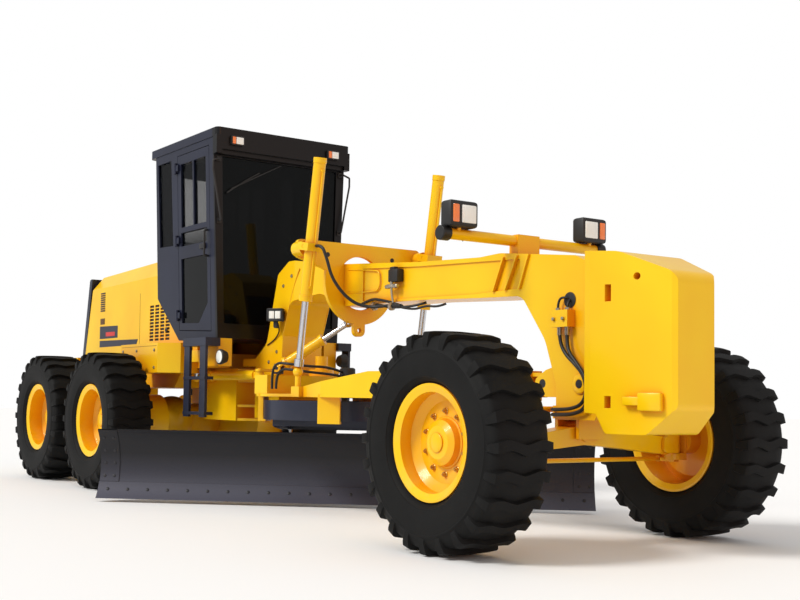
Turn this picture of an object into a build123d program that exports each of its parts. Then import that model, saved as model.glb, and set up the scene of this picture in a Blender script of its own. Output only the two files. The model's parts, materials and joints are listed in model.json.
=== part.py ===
from build123d import *
import math
import os

# Articulated motor grader. Millimetres, +X forwards, +Y left, +Z up.
# Stations below are measured from the middle of the tandem drive, on the ground.
# Each solid is moved back by origin_x as it is written, which puts the origin
# under the middle of the whole machine.

os.makedirs("parts", exist_ok=True)

origin_x = 2695          # middle of the machine, from the tandem pivot

# tyres and rims
tyre_r = 674             # to the tips of the lugs
tyre_width = 445
lug_height = 26
lug_count = 22
lug_width = 62           # round the tyre
bead_r = 318
rim_flange_r = 357
rim_width = 356
rim_flange = 14
wheel_y = 1070           # middle of every wheel
tandem_half = 765        # tandem pivot to a rear wheel
front_axle_x = 6185
wheel_z = tyre_r

fit_gap = 0.3            # between pieces that seat on each other
pin_gap = 0.05           # radial running clearance at pins
face_gap = 0.5           # axial clearance at hubs and lugs

# rear frame and hitch
hinge_x = 2100
hinge_pin_r = 45
rear_end_x = -1750
rail_y_out = 450

# tandem drive
case_y_in = 510
case_y_out = 800
case_half_height = 262

# engine hood
hood_half_width = 450
hood_wall = 30
hood_rear_top_x = -1250
hood_rear_bottom_x = -1450
hood_bottom_z = 1360
hood_fold_rear_z = 2140
hood_fold_front_z = 2200
hood_top_rear_z = 2290
hood_top_front_z = 2400
hood_top_half_width = 330

# cab
cab_front_top_x = 2275
cab_front_bottom_x = 2300
cab_rear_x = 1030
cab_diagonal_z = 1890
cab_diagonal_x = 1500
cab_bottom_z = 1460
cab_roof_z = 3302
cab_half_top = 720
cab_half_bottom = 650
cab_wall = 40
roof_thick = 80
roof_front_x = 2355
roof_rear_x = 900
roof_half = cab_half_top + 7
glass_thick = 8
door_rear_x = 1520
door_front_x = 2175
door_bottom_z = 1560
door_top_z = cab_roof_z - 67
pane_top_z = cab_roof_z - 152    # sliding panes of the doors
side_top_z = cab_roof_z - 82     # rear side windows
end_top_z = cab_roof_z - 172     # windshield and rear window
fascia_low_z = cab_roof_z - 160  # lower edge of the roof's front
handrail_r = 9
handrail_y = cab_half_top - 55   # its upper end, on the front post
handrail_foot_y = cab_half_top - 65
handrail_bow_y = cab_half_top + 25
handrail_x = cab_front_top_x + 55
door_gap = 6
door_hinge_r = 14

# front frame
tower_half = 210
tower_wall = 25
neck_half = 160
saddle_x = 3585          # rear face of the saddle plate
saddle_z = 1900
saddle_thick = 40
saddle_inner_r = 225
saddle_outer_r = 350
saddle_top_z = 2228
trunnion_x = 3797
trunnion_y = 603
trunnion_z = 2143
yoke_pin_r = 25

# drawbar, circle and moldboard
ball_x = 5960
ball_z = 1050
circle_x = 3455
circle_r = 710
circle_inner_r = 600
circle_bottom_z = 745
circle_top_z = 905
drawbar_plate_z = 935
drawbar_half = 590
blade_length = 4270
blade_height = 600
blade_bottom_z = 30
blade_angle = 50         # from straight ahead to the blade's own length
blade_shift = -51        # blade's middle along its own length, from the circle's axis
blade_thick = 22
blade_curve_r = 430
edge_thick = 16
edge_height = 140
rail_back = 176          # back of the blade's slide rails, behind its edge
tilt_z = 240             # pitch hinge of the blade carrier
tilt_back = 240          # that hinge behind the blade's edge
tilt_pin_r = 30
arm_in = 530             # the circle's arms, along the blade
arm_out = 590
eye_x = circle_x + 174             # lift rod's ball on the drawbar
eye_z = 1138
ball_r = 42
swing_pin_r = 28
pitch_pin_r = 30

# front axle
beam_half = 70           # half the beam's depth, fore and aft
kingpin_y = 910
kingpin_r = 32
knuckle_r = 50
boss_low = 590           # kingpin's boss on the leaning yoke
boss_high = 760
fork_low = 540           # steering fork above and below that boss
fork_high = 795
steer_arm = 90
front_hub_y = 985        # inner face of a front hub
lean_y = 770
lean_z = 640
lean_eye_r = 60
lean_pin_r = 28
lean_bar_z = 880
lean_bar_x = 6063
lean_bar_y = 700         # its pins, above and inside the yokes' own
lean_bar_r = 19
tie_rod_z = 540


# ---- helpers -------------------------------------------------------------

def outline(*corners):
    # closed flat outline; each corner is (across, up) or (across, up, round-off radius)
    shape = Polygon(*[(c[0], c[1]) for c in corners], align=None)
    for radius in sorted({c[2] for c in corners if len(c) > 2}):
        marked = [c for c in corners if len(c) > 2 and c[2] == radius]
        picked = [shape.vertices().sort_by_distance((c[0], c[1], 0))[0] for c in marked]
        shape = fillet(picked, radius)
    return shape


def side_plate(shape, y_from, y_to):
    # outline in X and Z, made solid between two Y values
    return extrude(Plane.XZ.offset(-max(y_from, y_to)) * shape, abs(y_to - y_from), dir=(0, -1, 0))


def plan_plate(shape, z_from, z_to):
    # outline in X and Y, made solid between two heights
    return extrude(Plane.XY.offset(min(z_from, z_to)) * shape, abs(z_to - z_from), dir=(0, 0, 1))


def cross_plate(shape, x_from, x_to):
    # outline in Y and Z, made solid between two stations
    return extrude(Plane.YZ.offset(min(x_from, x_to)) * shape, abs(x_to - x_from), dir=(1, 0, 0))


def block(x_from, x_to, y_from, y_to, z_from, z_to):
    middle = ((x_from + x_to) / 2, (y_from + y_to) / 2, (z_from + z_to) / 2)
    return Pos(*middle) * Box(abs(x_to - x_from), abs(y_to - y_from), abs(z_to - z_from))


def rod(start, end, radius):
    # round bar between two points
    path = Vector(*end) - Vector(*start)
    return Plane(origin=start, z_dir=path) * extrude(Circle(radius), path.length)


def tube(start, end, radius, bore):
    return rod(start, end, radius) - rod(start, end, bore)


def ball(centre, radius):
    return Pos(*centre) * Sphere(radius)


def mirrored(shape):
    return mirror(shape, about=Plane.XZ)


def save(name, shape):
    # one node: a single solid, or separate solids that share a node
    placed = Pos(-origin_x, 0, 0) * shape
    solids = placed.solids()
    whole = solids[0] if len(solids) == 1 else Compound(children=list(solids))
    export_step(whole, "parts/" + name + ".step")


# ---- wheels --------------------------------------------------------------

def flat_sided(*stations):
    # drum about the axle with one flat from lug to lug; stations are (across, radius at the lugs)
    rings = [Plane.XZ.offset(-across) * Rot(0, 0, 90) * RegularPolygon(radius, lug_count)
             for across, radius in stations]
    return loft(rings, ruled=True)


def tyre():
    half = tyre_width / 2
    seat = rim_width / 2 - rim_flange - fit_gap - 2
    lip = rim_flange_r + 5
    tread = tyre_r - lug_height
    body = flat_sided((-half, tread - 88), (-half + 32, tread), (half - 32, tread), (half, tread - 88))
    # each lug runs right across and down both shoulders
    lug = outline((-half + 30, tyre_r), (half - 30, tyre_r), (half - 3, tread - 92), (3 - half, tread - 92))
    lug = extrude(Plane.YZ * lug, lug_width / 2, both=True)
    lugs = [Rot(0, 180 + i * 360 / lug_count, 0) * lug for i in range(lug_count)]
    body = body + lugs
    for side in (-1, 1):
        body -= flat_sided((side * seat, lip), (side * (half + 5), lip + 116))
    return body - rod((0, -half, 0), (0, half, 0), bead_r + fit_gap)


def rim(outward, hub_face, hub_r, disc_y):
    # rim, dished disc and hub; outward is the side that faces away from the machine
    half = rim_width / 2
    lip = rim_flange_r
    wall = rim_flange
    barrel = outline((-half, lip), (-half, lip - wall), (-half + 16, bead_r - wall),
                     (half - 16, bead_r - wall), (half, lip - wall), (half, lip),
                     (half - wall, lip), (half - wall - 2, bead_r), (-half + wall + 2, bead_r),
                     (-half + wall, lip))
    disc = outline((disc_y, 0), (disc_y + 24, 0), (disc_y + 24, 250), (disc_y + 60, bead_r - wall + 1),
                   (disc_y + 30, bead_r - wall + 1), (disc_y, 250))
    hub = outline((hub_face, 0), (hub_face, hub_r), (disc_y + 1, hub_r), (disc_y + 1, 0))
    cap = outline((disc_y + 23, 0), (disc_y + 23, 150), (disc_y + 70, 138), (disc_y + 92, 100),
                  (disc_y + 100, 0))
    body = revolve(Plane.YZ * barrel, Axis.Y) + revolve(Plane.YZ * disc, Axis.Y)
    body = body + revolve(Plane.YZ * hub, Axis.Y) + revolve(Plane.YZ * cap, Axis.Y)
    return body if outward > 0 else mirrored(body)


# ---- rear frame ----------------------------------------------------------

hitch_plates = [(700, 725), (830, 855), (1065, 1090), (1170, 1195)]   # bottom and top of each

# cylinders that steer the frame
artic_y = 400
artic_z = 1125
artic_front_x = 2650
artic_rear_x = 1430
artic_r = 44
artic_pin_r = 20
artic_rod_r = 25
artic_lugs = [(artic_z - 55, artic_z - 30), (artic_z + 30, artic_z + 55)]


def rear_frame():
    body = None
    for side in (-1, 1):
        rail = side_plate(outline((rear_end_x + 60, 1010), (1000, 1010), (1200, 1200), (1950, 1200),
                                  (1950, 1360), (rear_end_x + 60, 1360)),
                          side * 330, side * rail_y_out)
        body = rail if body is None else body + rail
        body += block(1700, 2000, side * rail_y_out, side * 510, 1250, 1359)
        body += block(1700, 2300, side * 500, side * 640, 1250, 1359)
        body += block(2060, 2300, side * 500, side * 640, artic_z + 80, cab_bottom_z - fit_gap)
        body += block(1700, 1800, side * 500, side * 600, 1350, cab_bottom_z - fit_gap)
        # axle pads
        body += block(-160, 160, side * 330, side * rail_y_out, 860, 1020)
        # rod-end lugs of the steering-frame cylinders
        for low, high in artic_lugs:
            lug = outline((artic_rear_x - 55, side * 220), (artic_rear_x - 40, side * (artic_y + 40), 30),
                          (artic_rear_x + 40, side * (artic_y + 40), 30), (artic_rear_x + 55, side * 220))
            body += plan_plate(lug, low, high)
    body += block(1250, 1900, -230, 230, 700, 1199)
    body += block(1100, 1300, -340, 340, 1010, 1359)
    for x in (-900, -300, 700):
        body += block(x, x + 120, -340, 340, 1010, 1050 - fit_gap)
    body += block(rear_end_x, rear_end_x + 260, -520, 520, 760, 1360)
    for low, high in hitch_plates:
        body += plan_plate(outline((1880, -230), (1880, 230), (2040, 110, 30), (2190, 80, 60),
                                   (2190, -80, 60), (2040, -110, 30)), low, high)
    body += rod((hinge_x, 0, 690), (hinge_x, 0, 865), hinge_pin_r)
    body += rod((hinge_x, 0, 1055), (hinge_x, 0, 1205), hinge_pin_r)
    return body


def rear_axle():
    body = None
    for side in (-1, 1):
        half = case_half_height
        case = side_plate(SlotCenterToCenter(2 * tandem_half, 2 * half), side * case_y_in,
                          side * case_y_out)
        case = Pos(0, 0, wheel_z) * case
        body = case if body is None else body + case
        for end in (-1, 1):
            body += rod((end * tandem_half, side * (case_y_out - 5), wheel_z),
                        (end * tandem_half, side * 850, wheel_z), 170)
    body += rod((0, -case_y_in - 5, wheel_z), (0, case_y_in + 5, wheel_z), 170)
    body += ball((0, 0, wheel_z), 250) & block(-260, 260, -260, 260, 430, 1000)
    for side in (-1, 1):
        body += block(-150, 150, side * 335, side * (rail_y_out - 5), wheel_z + 60, 860 - fit_gap)
    return body


# ---- hood ----------------------------------------------------------------

def cab_side_outline(grow):
    # side view of the cab; a positive grow makes it larger all round
    shape = outline((cab_rear_x, cab_roof_z), (cab_front_top_x, cab_roof_z),
                    (cab_front_bottom_x, cab_bottom_z), (cab_diagonal_x, cab_bottom_z),
                    (cab_rear_x, cab_diagonal_z))
    return offset(shape, grow, kind=Kind.INTERSECTION) if grow else shape


def hood_body(inset):
    half = hood_half_width - inset
    top_half = hood_top_half_width - inset * 0.6
    start = hood_bottom_z + fit_gap
    stations = [(-1500, hood_fold_rear_z - inset, hood_top_rear_z - inset),
                (1650, hood_fold_front_z - inset, hood_top_front_z - inset)]
    sections = [Plane.YZ.offset(x) * outline((-half, start), (half, start), (half, fold),
                                             (top_half, top), (-top_half, top), (-half, fold))
                for x, fold, top in stations]
    body = loft(sections, ruled=True)
    rear_cut = side_plate(outline((hood_rear_bottom_x + inset, start - 10), (1650, start - 10),
                                  (1650, 3000), (hood_rear_top_x + inset + 150, 3000),
                                  (hood_rear_top_x + inset, hood_fold_rear_z)), -600, 600)
    return body & rear_cut


def hood():
    body = hood_body(0) - hood_body(hood_wall)
    body -= side_plate(cab_side_outline(6), -900, 900)
    # side intake: a field of square holes
    for column in range(4):
        for row in range(11):
            x = 420 + column * 130
            z = 1510 + row * 35
            body -= block(x - 50, x + 50, -600, 600, z - 12, z + 12)
    return body


def radiator_guard():
    shape = outline((hood_rear_bottom_x - 90, hood_bottom_z + fit_gap), (hood_rear_bottom_x - fit_gap,
                    hood_bottom_z + fit_gap), (hood_rear_top_x - 36 - fit_gap, 2280),
                    (hood_rear_top_x - 110, 2280, 40))
    body = side_plate(shape, -hood_half_width + 4, hood_half_width - 4)
    for row in range(8):
        z = 1440 + row * 92
        body -= block(-1800, -1000, -380, 380, z, z + 60)
    return body


def engine():
    return block(-900, 820, -300, 300, 1050, 1900)


def side_tanks():
    shapes = []
    for side in (-1, 1):
        plan = outline((450, side * (rail_y_out + fit_gap)), (450, side * 800), (1341, side * 800),
                       (1509, side * 632), (1509, side * (rail_y_out + fit_gap)))
        shapes.append(plan_plate(plan, 1150, 1440))
    return Compound(children=shapes)


# ---- cab -----------------------------------------------------------------

def cab_hull(inset):
    # outside of the cab, or the surface that lies inset inside it
    prism = side_plate(cab_side_outline(-inset), -1000, 1000)
    top = cab_half_top - inset
    bottom = cab_half_bottom - inset
    width = cross_plate(outline((-bottom, cab_bottom_z - 1), (bottom, cab_bottom_z - 1),
                                (top, cab_roof_z + 1), (-top, cab_roof_z + 1)), 500, 3000)
    return prism & width


def cab_half_at(z):
    share = (z - cab_bottom_z) / (cab_roof_z - cab_bottom_z)
    return cab_half_bottom + (cab_half_top - cab_half_bottom) * share


def grown(shape, by):
    # the same outline with every edge moved outwards
    return offset(shape, by, kind=Kind.INTERSECTION) if by else shape


def door_outline(grow):
    return grown(outline((door_rear_x, door_bottom_z), (door_front_x, door_bottom_z - 30),
                         (door_front_x, door_top_z), (door_rear_x, door_top_z)), grow)


def door_windows(shrink):
    # sliding panes above, strip in the middle, tall pane below with a slanted corner
    upper_rear = outline((1590, 2540), (1838, 2540), (1838, pane_top_z), (1590, pane_top_z))
    upper_front = outline((1862, 2540), (2110, 2540), (2110, pane_top_z), (1862, pane_top_z))
    strip = outline((1580, 2360), (2115, 2360), (2115, 2490), (1580, 2490))
    lower = outline((1575, 1625), (1930, 1610), (2115, 1790), (2115, 2240), (1575, 2240))
    return [grown(w, -shrink) for w in (upper_rear, upper_front, strip, lower)]


def quarter_window(shrink):
    return grown(outline((1100, 2395), (1400, 2385), (1380, side_top_z), (1080, side_top_z)), -shrink)


def windshield_window(shrink):
    return grown(outline((-590, 1595), (590, 1595), (625, end_top_z), (-625, end_top_z)), -shrink)


def rear_window(shrink):
    return grown(outline((-520, 2480), (520, 2480), (540, end_top_z), (-540, end_top_z)), -shrink)


cab_slant = math.atan2(cab_half_top - cab_half_bottom, cab_roof_z - cab_bottom_z)
hinge_heights = [1700, 2420, cab_roof_z - 182]


def door_hinge_line(z):
    # a point on the right door's hinge axis
    return (door_rear_x - 12, -(cab_half_at(z) + door_hinge_r + 3), z)


def hinge_piece(z, low, high, radius):
    # round length on the right door's hinge axis, from low to high about the height z
    x, y, _ = door_hinge_line(z)
    rise = math.cos(cab_slant)
    run = -math.sin(cab_slant)
    return rod((x, y + low * run, z + low * rise), (x, y + high * run, z + high * rise), radius)


def hinge_frame_parts():
    # pins and leaves that stay on the cab, right side
    parts = []
    for z in hinge_heights:
        x, y, _ = door_hinge_line(z)
        parts.append(hinge_piece(z, -50, 50, 8))
        for low, high in ((-52, -31), (31, 52)):
            parts.append(hinge_piece(z, low, high, door_hinge_r))
            parts.append(block(x - 34, x, y - 6, y + 24, z + low, z + high))
    return parts


def hinge_door_parts():
    parts = []
    for z in hinge_heights:
        x, y, _ = door_hinge_line(z)
        knuckle = hinge_piece(z, -30, 30, door_hinge_r) - hinge_piece(z, -30, 30, 8 + pin_gap)
        leaf = block(x, x + 60, y - 6, y + 12, z - 29, z + 29) - hinge_piece(z, -40, 40, 8 + 4)
        leaf += block(door_rear_x + 6, x + 60, y + 6, y + 24, z - 29, z + 29)
        parts.append(knuckle + leaf)
    return parts


def cab_frame():
    body = cab_hull(0) - cab_hull(cab_wall)
    # open under the roof panel
    body -= block(cab_rear_x + cab_wall, cab_front_top_x - cab_wall, -cab_half_top + cab_wall + 4,
                  cab_half_top - cab_wall - 4, cab_roof_z - 100, cab_roof_z + 10)
    body -= side_plate(door_outline(door_gap), -1000, 1000)
    body -= side_plate(quarter_window(0), -1000, 1000)
    body -= cross_plate(windshield_window(0), cab_front_top_x - 100, cab_front_bottom_x + 100)
    body -= cross_plate(rear_window(0), cab_rear_x - 50, cab_rear_x + 100)
    for part in hinge_frame_parts():
        body += part
        body += mirrored(part)
    return body


def cab_roof():
    plan = outline((roof_rear_x, -roof_half, 60), (roof_front_x, -roof_half, 40),
                   (roof_front_x, roof_half, 40), (roof_rear_x, roof_half, 60))
    body = plan_plate(plan, cab_roof_z + fit_gap, cab_roof_z + roof_thick)
    # deep front over the windshield
    front = block(cab_front_top_x + 5, roof_front_x, -roof_half, roof_half, fascia_low_z, cab_roof_z + 10)
    front -= block(roof_front_x - 30, roof_front_x + 1, -roof_half + 60, roof_half - 60, fascia_low_z - 1,
                   fascia_low_z + 40)
    return body + front


def pane_layer():
    return cab_hull(16) - cab_hull(16 + glass_thick)


def cab_glass():
    layer = pane_layer()
    panes = [layer & cross_plate(windshield_window(fit_gap), cab_front_top_x - 100, cab_front_bottom_x + 100),
             layer & cross_plate(rear_window(fit_gap), cab_rear_x - 50, cab_rear_x + 100),
             layer & side_plate(quarter_window(fit_gap), -1000, 0),
             layer & side_plate(quarter_window(fit_gap), 0, 1000)]
    return Compound(children=[s for p in panes for s in p.solids()])


def door():
    panel = (cab_hull(0) - cab_hull(cab_wall)) & side_plate(door_outline(0), -1000, 0)
    for w in door_windows(0):
        panel -= side_plate(w, -1000, 0)
    for part in hinge_door_parts():
        panel += part
    return panel


def door_glass():
    layer = pane_layer()
    panes = [layer & side_plate(w, -1000, 0) for w in door_windows(fit_gap)]
    return Compound(children=[s for p in panes for s in p.solids()])


def cab_interior():
    floor = cab_bottom_z + cab_wall + fit_gap
    base = side_plate(outline((1580, floor), (1800, floor), (1780, 1905), (1480, 1905)), -170, 170)
    seat = base + side_plate(outline((1330, 1900, 30), (1840, 1900, 30), (1840, 2010, 40), (1470, 1990, 40),
                                     (1400, 2600, 40), (1290, 2600, 40)), -240, 240)
    console = side_plate(outline((1960, floor), (2080, floor), (2050, 2140, 40), (1970, 2140, 40)), -110, 110)
    console += rod((2010, 0, 2100), (1890, 0, 2330), 30)
    grip = revolve(Plane.XZ * Pos(190, 0) * RegularPolygon(14, 6), Axis.Z)
    wheel = Plane(origin=(1890, 0, 2330), z_dir=(-0.46, 0, 0.88)) * grip
    wheel += Plane(origin=(1890, 0, 2330), z_dir=(-0.46, 0, 0.88)) * Box(380, 30, 14)
    return Compound(children=[seat.solids()[0], (console + wheel).solids()[0]])


def cab_front_at(z):
    share = (z - cab_bottom_z) / (cab_roof_z - cab_bottom_z)
    return cab_front_bottom_x + (cab_front_top_x - cab_front_bottom_x) * share


def cab_fittings():
    # bowed rails on the front posts, work lamps on the roof's front
    shapes = []
    top = cab_roof_z - 200
    foot = cab_roof_z - 770
    for side in (-1, 1):
        bow = side * handrail_bow_y
        path = FilletPolyline((cab_front_at(top) + 8, side * handrail_y, top),
                              (handrail_x, side * handrail_y, top),
                              (handrail_x, bow, top - 25), (handrail_x, bow, top - 110),
                              (handrail_x, side * handrail_foot_y, foot),
                              (cab_front_at(foot) + 8, side * handrail_foot_y, foot), radius=14)
        rail = sweep(Plane(origin=path @ 0, z_dir=path % 0) * Circle(handrail_r), path=path)
        for y, z in ((side * handrail_y, top), (side * handrail_foot_y, foot)):
            face = cab_front_at(z - 22) + fit_gap
            rail += block(face, face + 12, y - 22, y + 22, z - 22, z + 22)
        shapes.append(rail)
        lamp = block(roof_front_x + fit_gap, roof_front_x + 30, side * (roof_half - 272), side * (roof_half - 137),
                     cab_roof_z - 75, cab_roof_z + 10)
        shapes.append(fillet(lamp.edges().filter_by(Axis.X), 14))
    return Compound(children=[s for p in shapes for s in p.solids()])


def ladders():
    shapes = []
    for side in (-1, 1):
        y0, y1 = side * (640 + fit_gap), side * 790
        ladder = block(1880, 2340, y0, y1, 1385, cab_bottom_z - fit_gap)
        for x in (1900, 2220):
            ladder += block(x, x + 110, side * 760, side * 785, 740, 1400)
        for z in (760, 1080):
            ladder += block(1900, 2330, side * 700, side * 790, z, z + 28)
        shapes.append(ladder)
    return Compound(children=[s for p in shapes for s in p.solids()])


# ---- front frame ---------------------------------------------------------

def tower():
    # rear upright of the front frame, from the hitch up to the gooseneck
    side = outline((2230, 735), (2620, 735), (2690, 1000), (2700, 1250), (2720, 1480), (2830, 1780, 120),
                   (3300, 1830, 200), (3560, 1700), (3560, 2058), (2900, 2144), (2801, 2144, 60),
                   (2615, 2041, 60), (2471, 1547, 60), (2430, 1420, 150), (2230, 1285, 60),
                   (1990, 1285), (1990, 1215), (2230, 1215))
    body = side_plate(side, -tower_half, tower_half)
    plan = outline((1900, -tower_half), (2900, -tower_half), (3570, -neck_half), (3570, neck_half),
                   (2900, tower_half), (1900, tower_half))
    body = body & plan_plate(plan, 600, 2300)
    # open inside, towards the cab
    body -= block(2180, 2650, -tower_half + tower_wall, tower_half - tower_wall, 1300, 1900)
    # hinge lugs
    for low, high in ((725 + face_gap, 830 - face_gap), (1090 + face_gap, 1170 - face_gap)):
        body += plan_plate(outline((2020, -70, 50), (2240, -120), (2240, 120), (2020, 70, 50)), low, high)
        body -= rod((hinge_x, 0, low - 5), (hinge_x, 0, high + 5), hinge_pin_r + pin_gap)
    body -= rod((hinge_x, 0, 1196), (hinge_x, 0, 1216), 120)
    # lugs and pins of the cylinders that steer the frame
    for way in (-1, 1):
        for low, high in artic_lugs:
            lug = outline((artic_front_x - 40, way * 200), (artic_front_x - 40, way * (artic_y + 40), 30),
                          (artic_front_x + 40, way * (artic_y + 40), 30), (artic_front_x + 40, way * 200))
            body += plan_plate(lug, low, high)
        body += rod((artic_front_x, way * artic_y, artic_lugs[0][0] - 6),
                    (artic_front_x, way * artic_y, artic_lugs[1][1] + 6), artic_pin_r)
    return body


nose_bottom_z = 815
neck_front_x = 6530
boss_z = 740             # pivot of the axle beam under the nose
valve_low_z = 1412
valve_proud = 70
hose_r = 12


def gooseneck():
    side = outline((3560 + fit_gap, 1700), (4670, 1687, 400), (5370, 1658), (5800, 1645, 120),
                   (6030, 1337, 300), (6135, 1039, 100), (6135, nose_bottom_z), (6480, nose_bottom_z),
                   (neck_front_x, 900), (neck_front_x, 1600),
                   (6480, 1800, 80), (6300, 1878), (5575, 1960, 300), (5360, 1950, 300), (4660, 1980),
                   (3560 + fit_gap, 2058))
    body = side_plate(side, -neck_half, neck_half)
    # flange plates stand proud of the web
    body -= side_plate(outline((3900, 1725), (5300, 1690), (5780, 1700), (5780, 1900), (5300, 1920),
                               (4660, 1945), (3900, 1990)), neck_half - 12, neck_half + 1)
    body -= side_plate(outline((3900, 1725), (5300, 1690), (5780, 1700), (5780, 1900), (5300, 1920),
                               (4660, 1945), (3900, 1990)), -neck_half - 1, -neck_half + 12)
    # ears of the drawbar's ball joint
    for way in (-1, 1):
        ear = side_plate(outline((6140, 960), (6140, 1180), (5990, 1140, 40), (5890, 1080, 40),
                                 (5890, 1010, 40), (5990, 960, 40)), way * 75, way * 115)
        ear -= rod((ball_x, way * 70, ball_z), (ball_x, way * 120, ball_z), 30 + pin_gap)
        body += ear
    # foot and clevis over the axle's pivot boss
    reach = beam_half + 12 + 28
    body += block(front_axle_x - reach, front_axle_x + reach, -110, 110, nose_bottom_z, nose_bottom_z + 32)
    for x in (beam_half + 12, -beam_half - 12 - 28):
        body += block(front_axle_x + x, front_axle_x + x + 28, -110, 110, boss_z - 50, nose_bottom_z + 5)
    # valve block on the nose, and the block under it that its hoses lead to
    body += block(6159, 6305, -neck_half - valve_proud, -neck_half + 14, valve_low_z, valve_low_z + 111)
    body += block(6096, 6140, -150, -60, 820, 905)
    # round journal that the saddle sits on
    collar = (saddle_x - 15, saddle_x + saddle_thick + 15)
    trim = block(collar[0], collar[1], -300, 300, saddle_z - 350, saddle_z + 350)
    trim -= rod((collar[0] - 5, 0, saddle_z), (collar[1] + 5, 0, saddle_z), saddle_inner_r - fit_gap)
    return body - trim


def hoses():
    # two hoses looped down the right side of the nose
    shapes = []
    y = -neck_half - valve_proud / 2
    for top_x, low_z, front_x in ((6200, 880, 6430), (6268, 846, 6464)):
        path = FilletPolyline((top_x, y, valve_low_z - fit_gap), (top_x, y, 1320), (front_x, y, 1120),
                              (front_x, y, low_z), (6118, y, low_z), (6118, -150 - fit_gap, low_z), radius=28)
        shapes.append(sweep(Plane(origin=path @ 0, z_dir=path % 0) * Circle(hose_r), path=path))
    return Compound(children=[s for p in shapes for s in p.solids()])


def saddle():
    front = saddle_x + saddle_thick
    ring = Pos(0, saddle_z) * Circle(saddle_outer_r)
    cap = Pos(0, saddle_top_z + 300) * Rectangle(1200, 600)
    arms = outline((-620, saddle_top_z, 40), (620, saddle_top_z, 40), (640, 2085, 40), (330, 1990),
                   (-330, 1990), (-640, 2085, 40))
    lug = outline((-100, 1620), (-56, 1560), (-56, 1450, 50), (56, 1450, 50), (56, 1560), (100, 1620))
    body = cross_plate(ring - cap, saddle_x, front) + cross_plate(arms, saddle_x, front)
    body += cross_plate(lug, saddle_x, front)
    body -= rod((saddle_x - 5, 0, saddle_z), (front + 5, 0, saddle_z), saddle_inner_r)
    # blocks that grip the neck's sides, holes of the locking pin and the cylinder's eye
    for side in (-1, 1):
        body += block(saddle_x + 3, front - 3, side * (saddle_inner_r + 12), side * (neck_half + fit_gap),
                      saddle_z - 155, saddle_z + 155)
    body -= rod((saddle_x - 5, 0, 1503), (front + 5, 0, 1503), 20)
    for side in (-1, 1):
        # pivot tube that carries the lift cylinder's yoke
        y = side * trunnion_y
        body += rod((saddle_x, y, trunnion_z), (trunnion_x - 80, y, trunnion_z), 62)
        body -= rod((saddle_x - 5, y, trunnion_z), (trunnion_x, y, trunnion_z), yoke_pin_r + pin_gap)
    return body


def front_weight():
    side = outline((6500, 1870), (6500, 870), (6640, 860), (6700, 740, 30), (6960, 740, 60),
                   (7140, 900, 60), (7140, 1700, 90), (6780, 1850, 200))
    body = side_plate(side, -400, 400)
    back = neck_front_x + fit_gap
    plan = outline((back, -neck_half - 20), (back + 25, -330), (back + 70, -330), (7115, -186), (7160, -140),
                   (7160, 140), (7115, 186), (back + 70, 330), (back + 25, 330), (back, neck_half + 20))
    body = body & plan_plate(plan, 700, 1900)
    # slots of the fixing bolts and the lifting hole
    for side in (-1, 1):
        for low, high in ((897, 969), (1545, 1648)):
            body -= block(6697, 6737, side * 240, side * 400, low, high)
    return body - rod((6901, -400, 1689), (6901, 400, 1689), 22)


def lamp_bar():
    bar = rod((5649, -743, 2043), (5649, 743, 2043), 38)
    bar += side_plate(outline((5605, 1957.2), (5695, 1947.2), (5695, 2085), (5605, 2085)), -100, 100)
    for side in (-1, 1):
        bar += rod((5649, side * 610, 2040), (5680, side * 610, 2100), 16)
        bar += block(5630, 5720, side * 500, side * 720, 2095, 2250)
    return bar


# ---- front axle ----------------------------------------------------------

def front_axle():
    beam = outline((-lean_y, lean_z - lean_eye_r), (-430, 615, 200), (0, 654, 400), (430, 615, 200),
                   (lean_y, lean_z - lean_eye_r), (lean_y, lean_z + lean_eye_r), (370, 733, 200),
                   (0, 783, 400), (-370, 733, 200), (-lean_y, lean_z + lean_eye_r))
    x0 = front_axle_x - beam_half
    x1 = front_axle_x + beam_half
    body = cross_plate(beam, x0, x1)
    reach = beam_half + 12 - face_gap
    body += rod((front_axle_x - reach, 0, boss_z), (front_axle_x + reach, 0, boss_z), 70)
    for side in (-1, 1):
        body += rod((x0, side * lean_y, lean_z), (x1, side * lean_y, lean_z), lean_eye_r)
        body += rod((x0 - 28, side * lean_y, lean_z), (x1 + 28, side * lean_y, lean_z), lean_pin_r)
    return body


def lean_knuckle():
    # yoke at the left end of the beam: leans on the beam's pin and holds the kingpin's boss
    x0 = front_axle_x - beam_half - 2 - 26
    x1 = front_axle_x + beam_half + 2 + 26
    inner = lean_y + lean_eye_r + 5
    body = block(x0, x1, inner, inner + 20, boss_low, boss_high)
    for x in (x0, x1 - 26):
        cheek = outline((lean_y - 55, lean_z - 48, 40), (inner + 10, boss_low), (inner + 10, boss_high),
                        (lean_y - 55, lean_z + 50, 40))
        body += cross_plate(cheek, x, x + 26)
    arm = outline((lean_y - 40, lean_z), (lean_y + 60, lean_z), (lean_bar_y + 40, lean_bar_z + 36, 30),
                  (lean_bar_y - 40, lean_bar_z + 36, 30))
    body += cross_plate(arm, x0, x0 + 26)
    body += block(front_axle_x - 45, front_axle_x + 45, inner + 10, kingpin_y, boss_low, boss_high)
    body += rod((front_axle_x, kingpin_y, boss_low), (front_axle_x, kingpin_y, boss_high), knuckle_r)
    body -= rod((front_axle_x, kingpin_y, boss_low - 5), (front_axle_x, kingpin_y, boss_high + 5),
                kingpin_r + pin_gap)
    for x in (x0, x1 - 26):
        body -= rod((x - 5, lean_y, lean_z), (x + 31, lean_y, lean_z), lean_pin_r + pin_gap)
    return body


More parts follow.
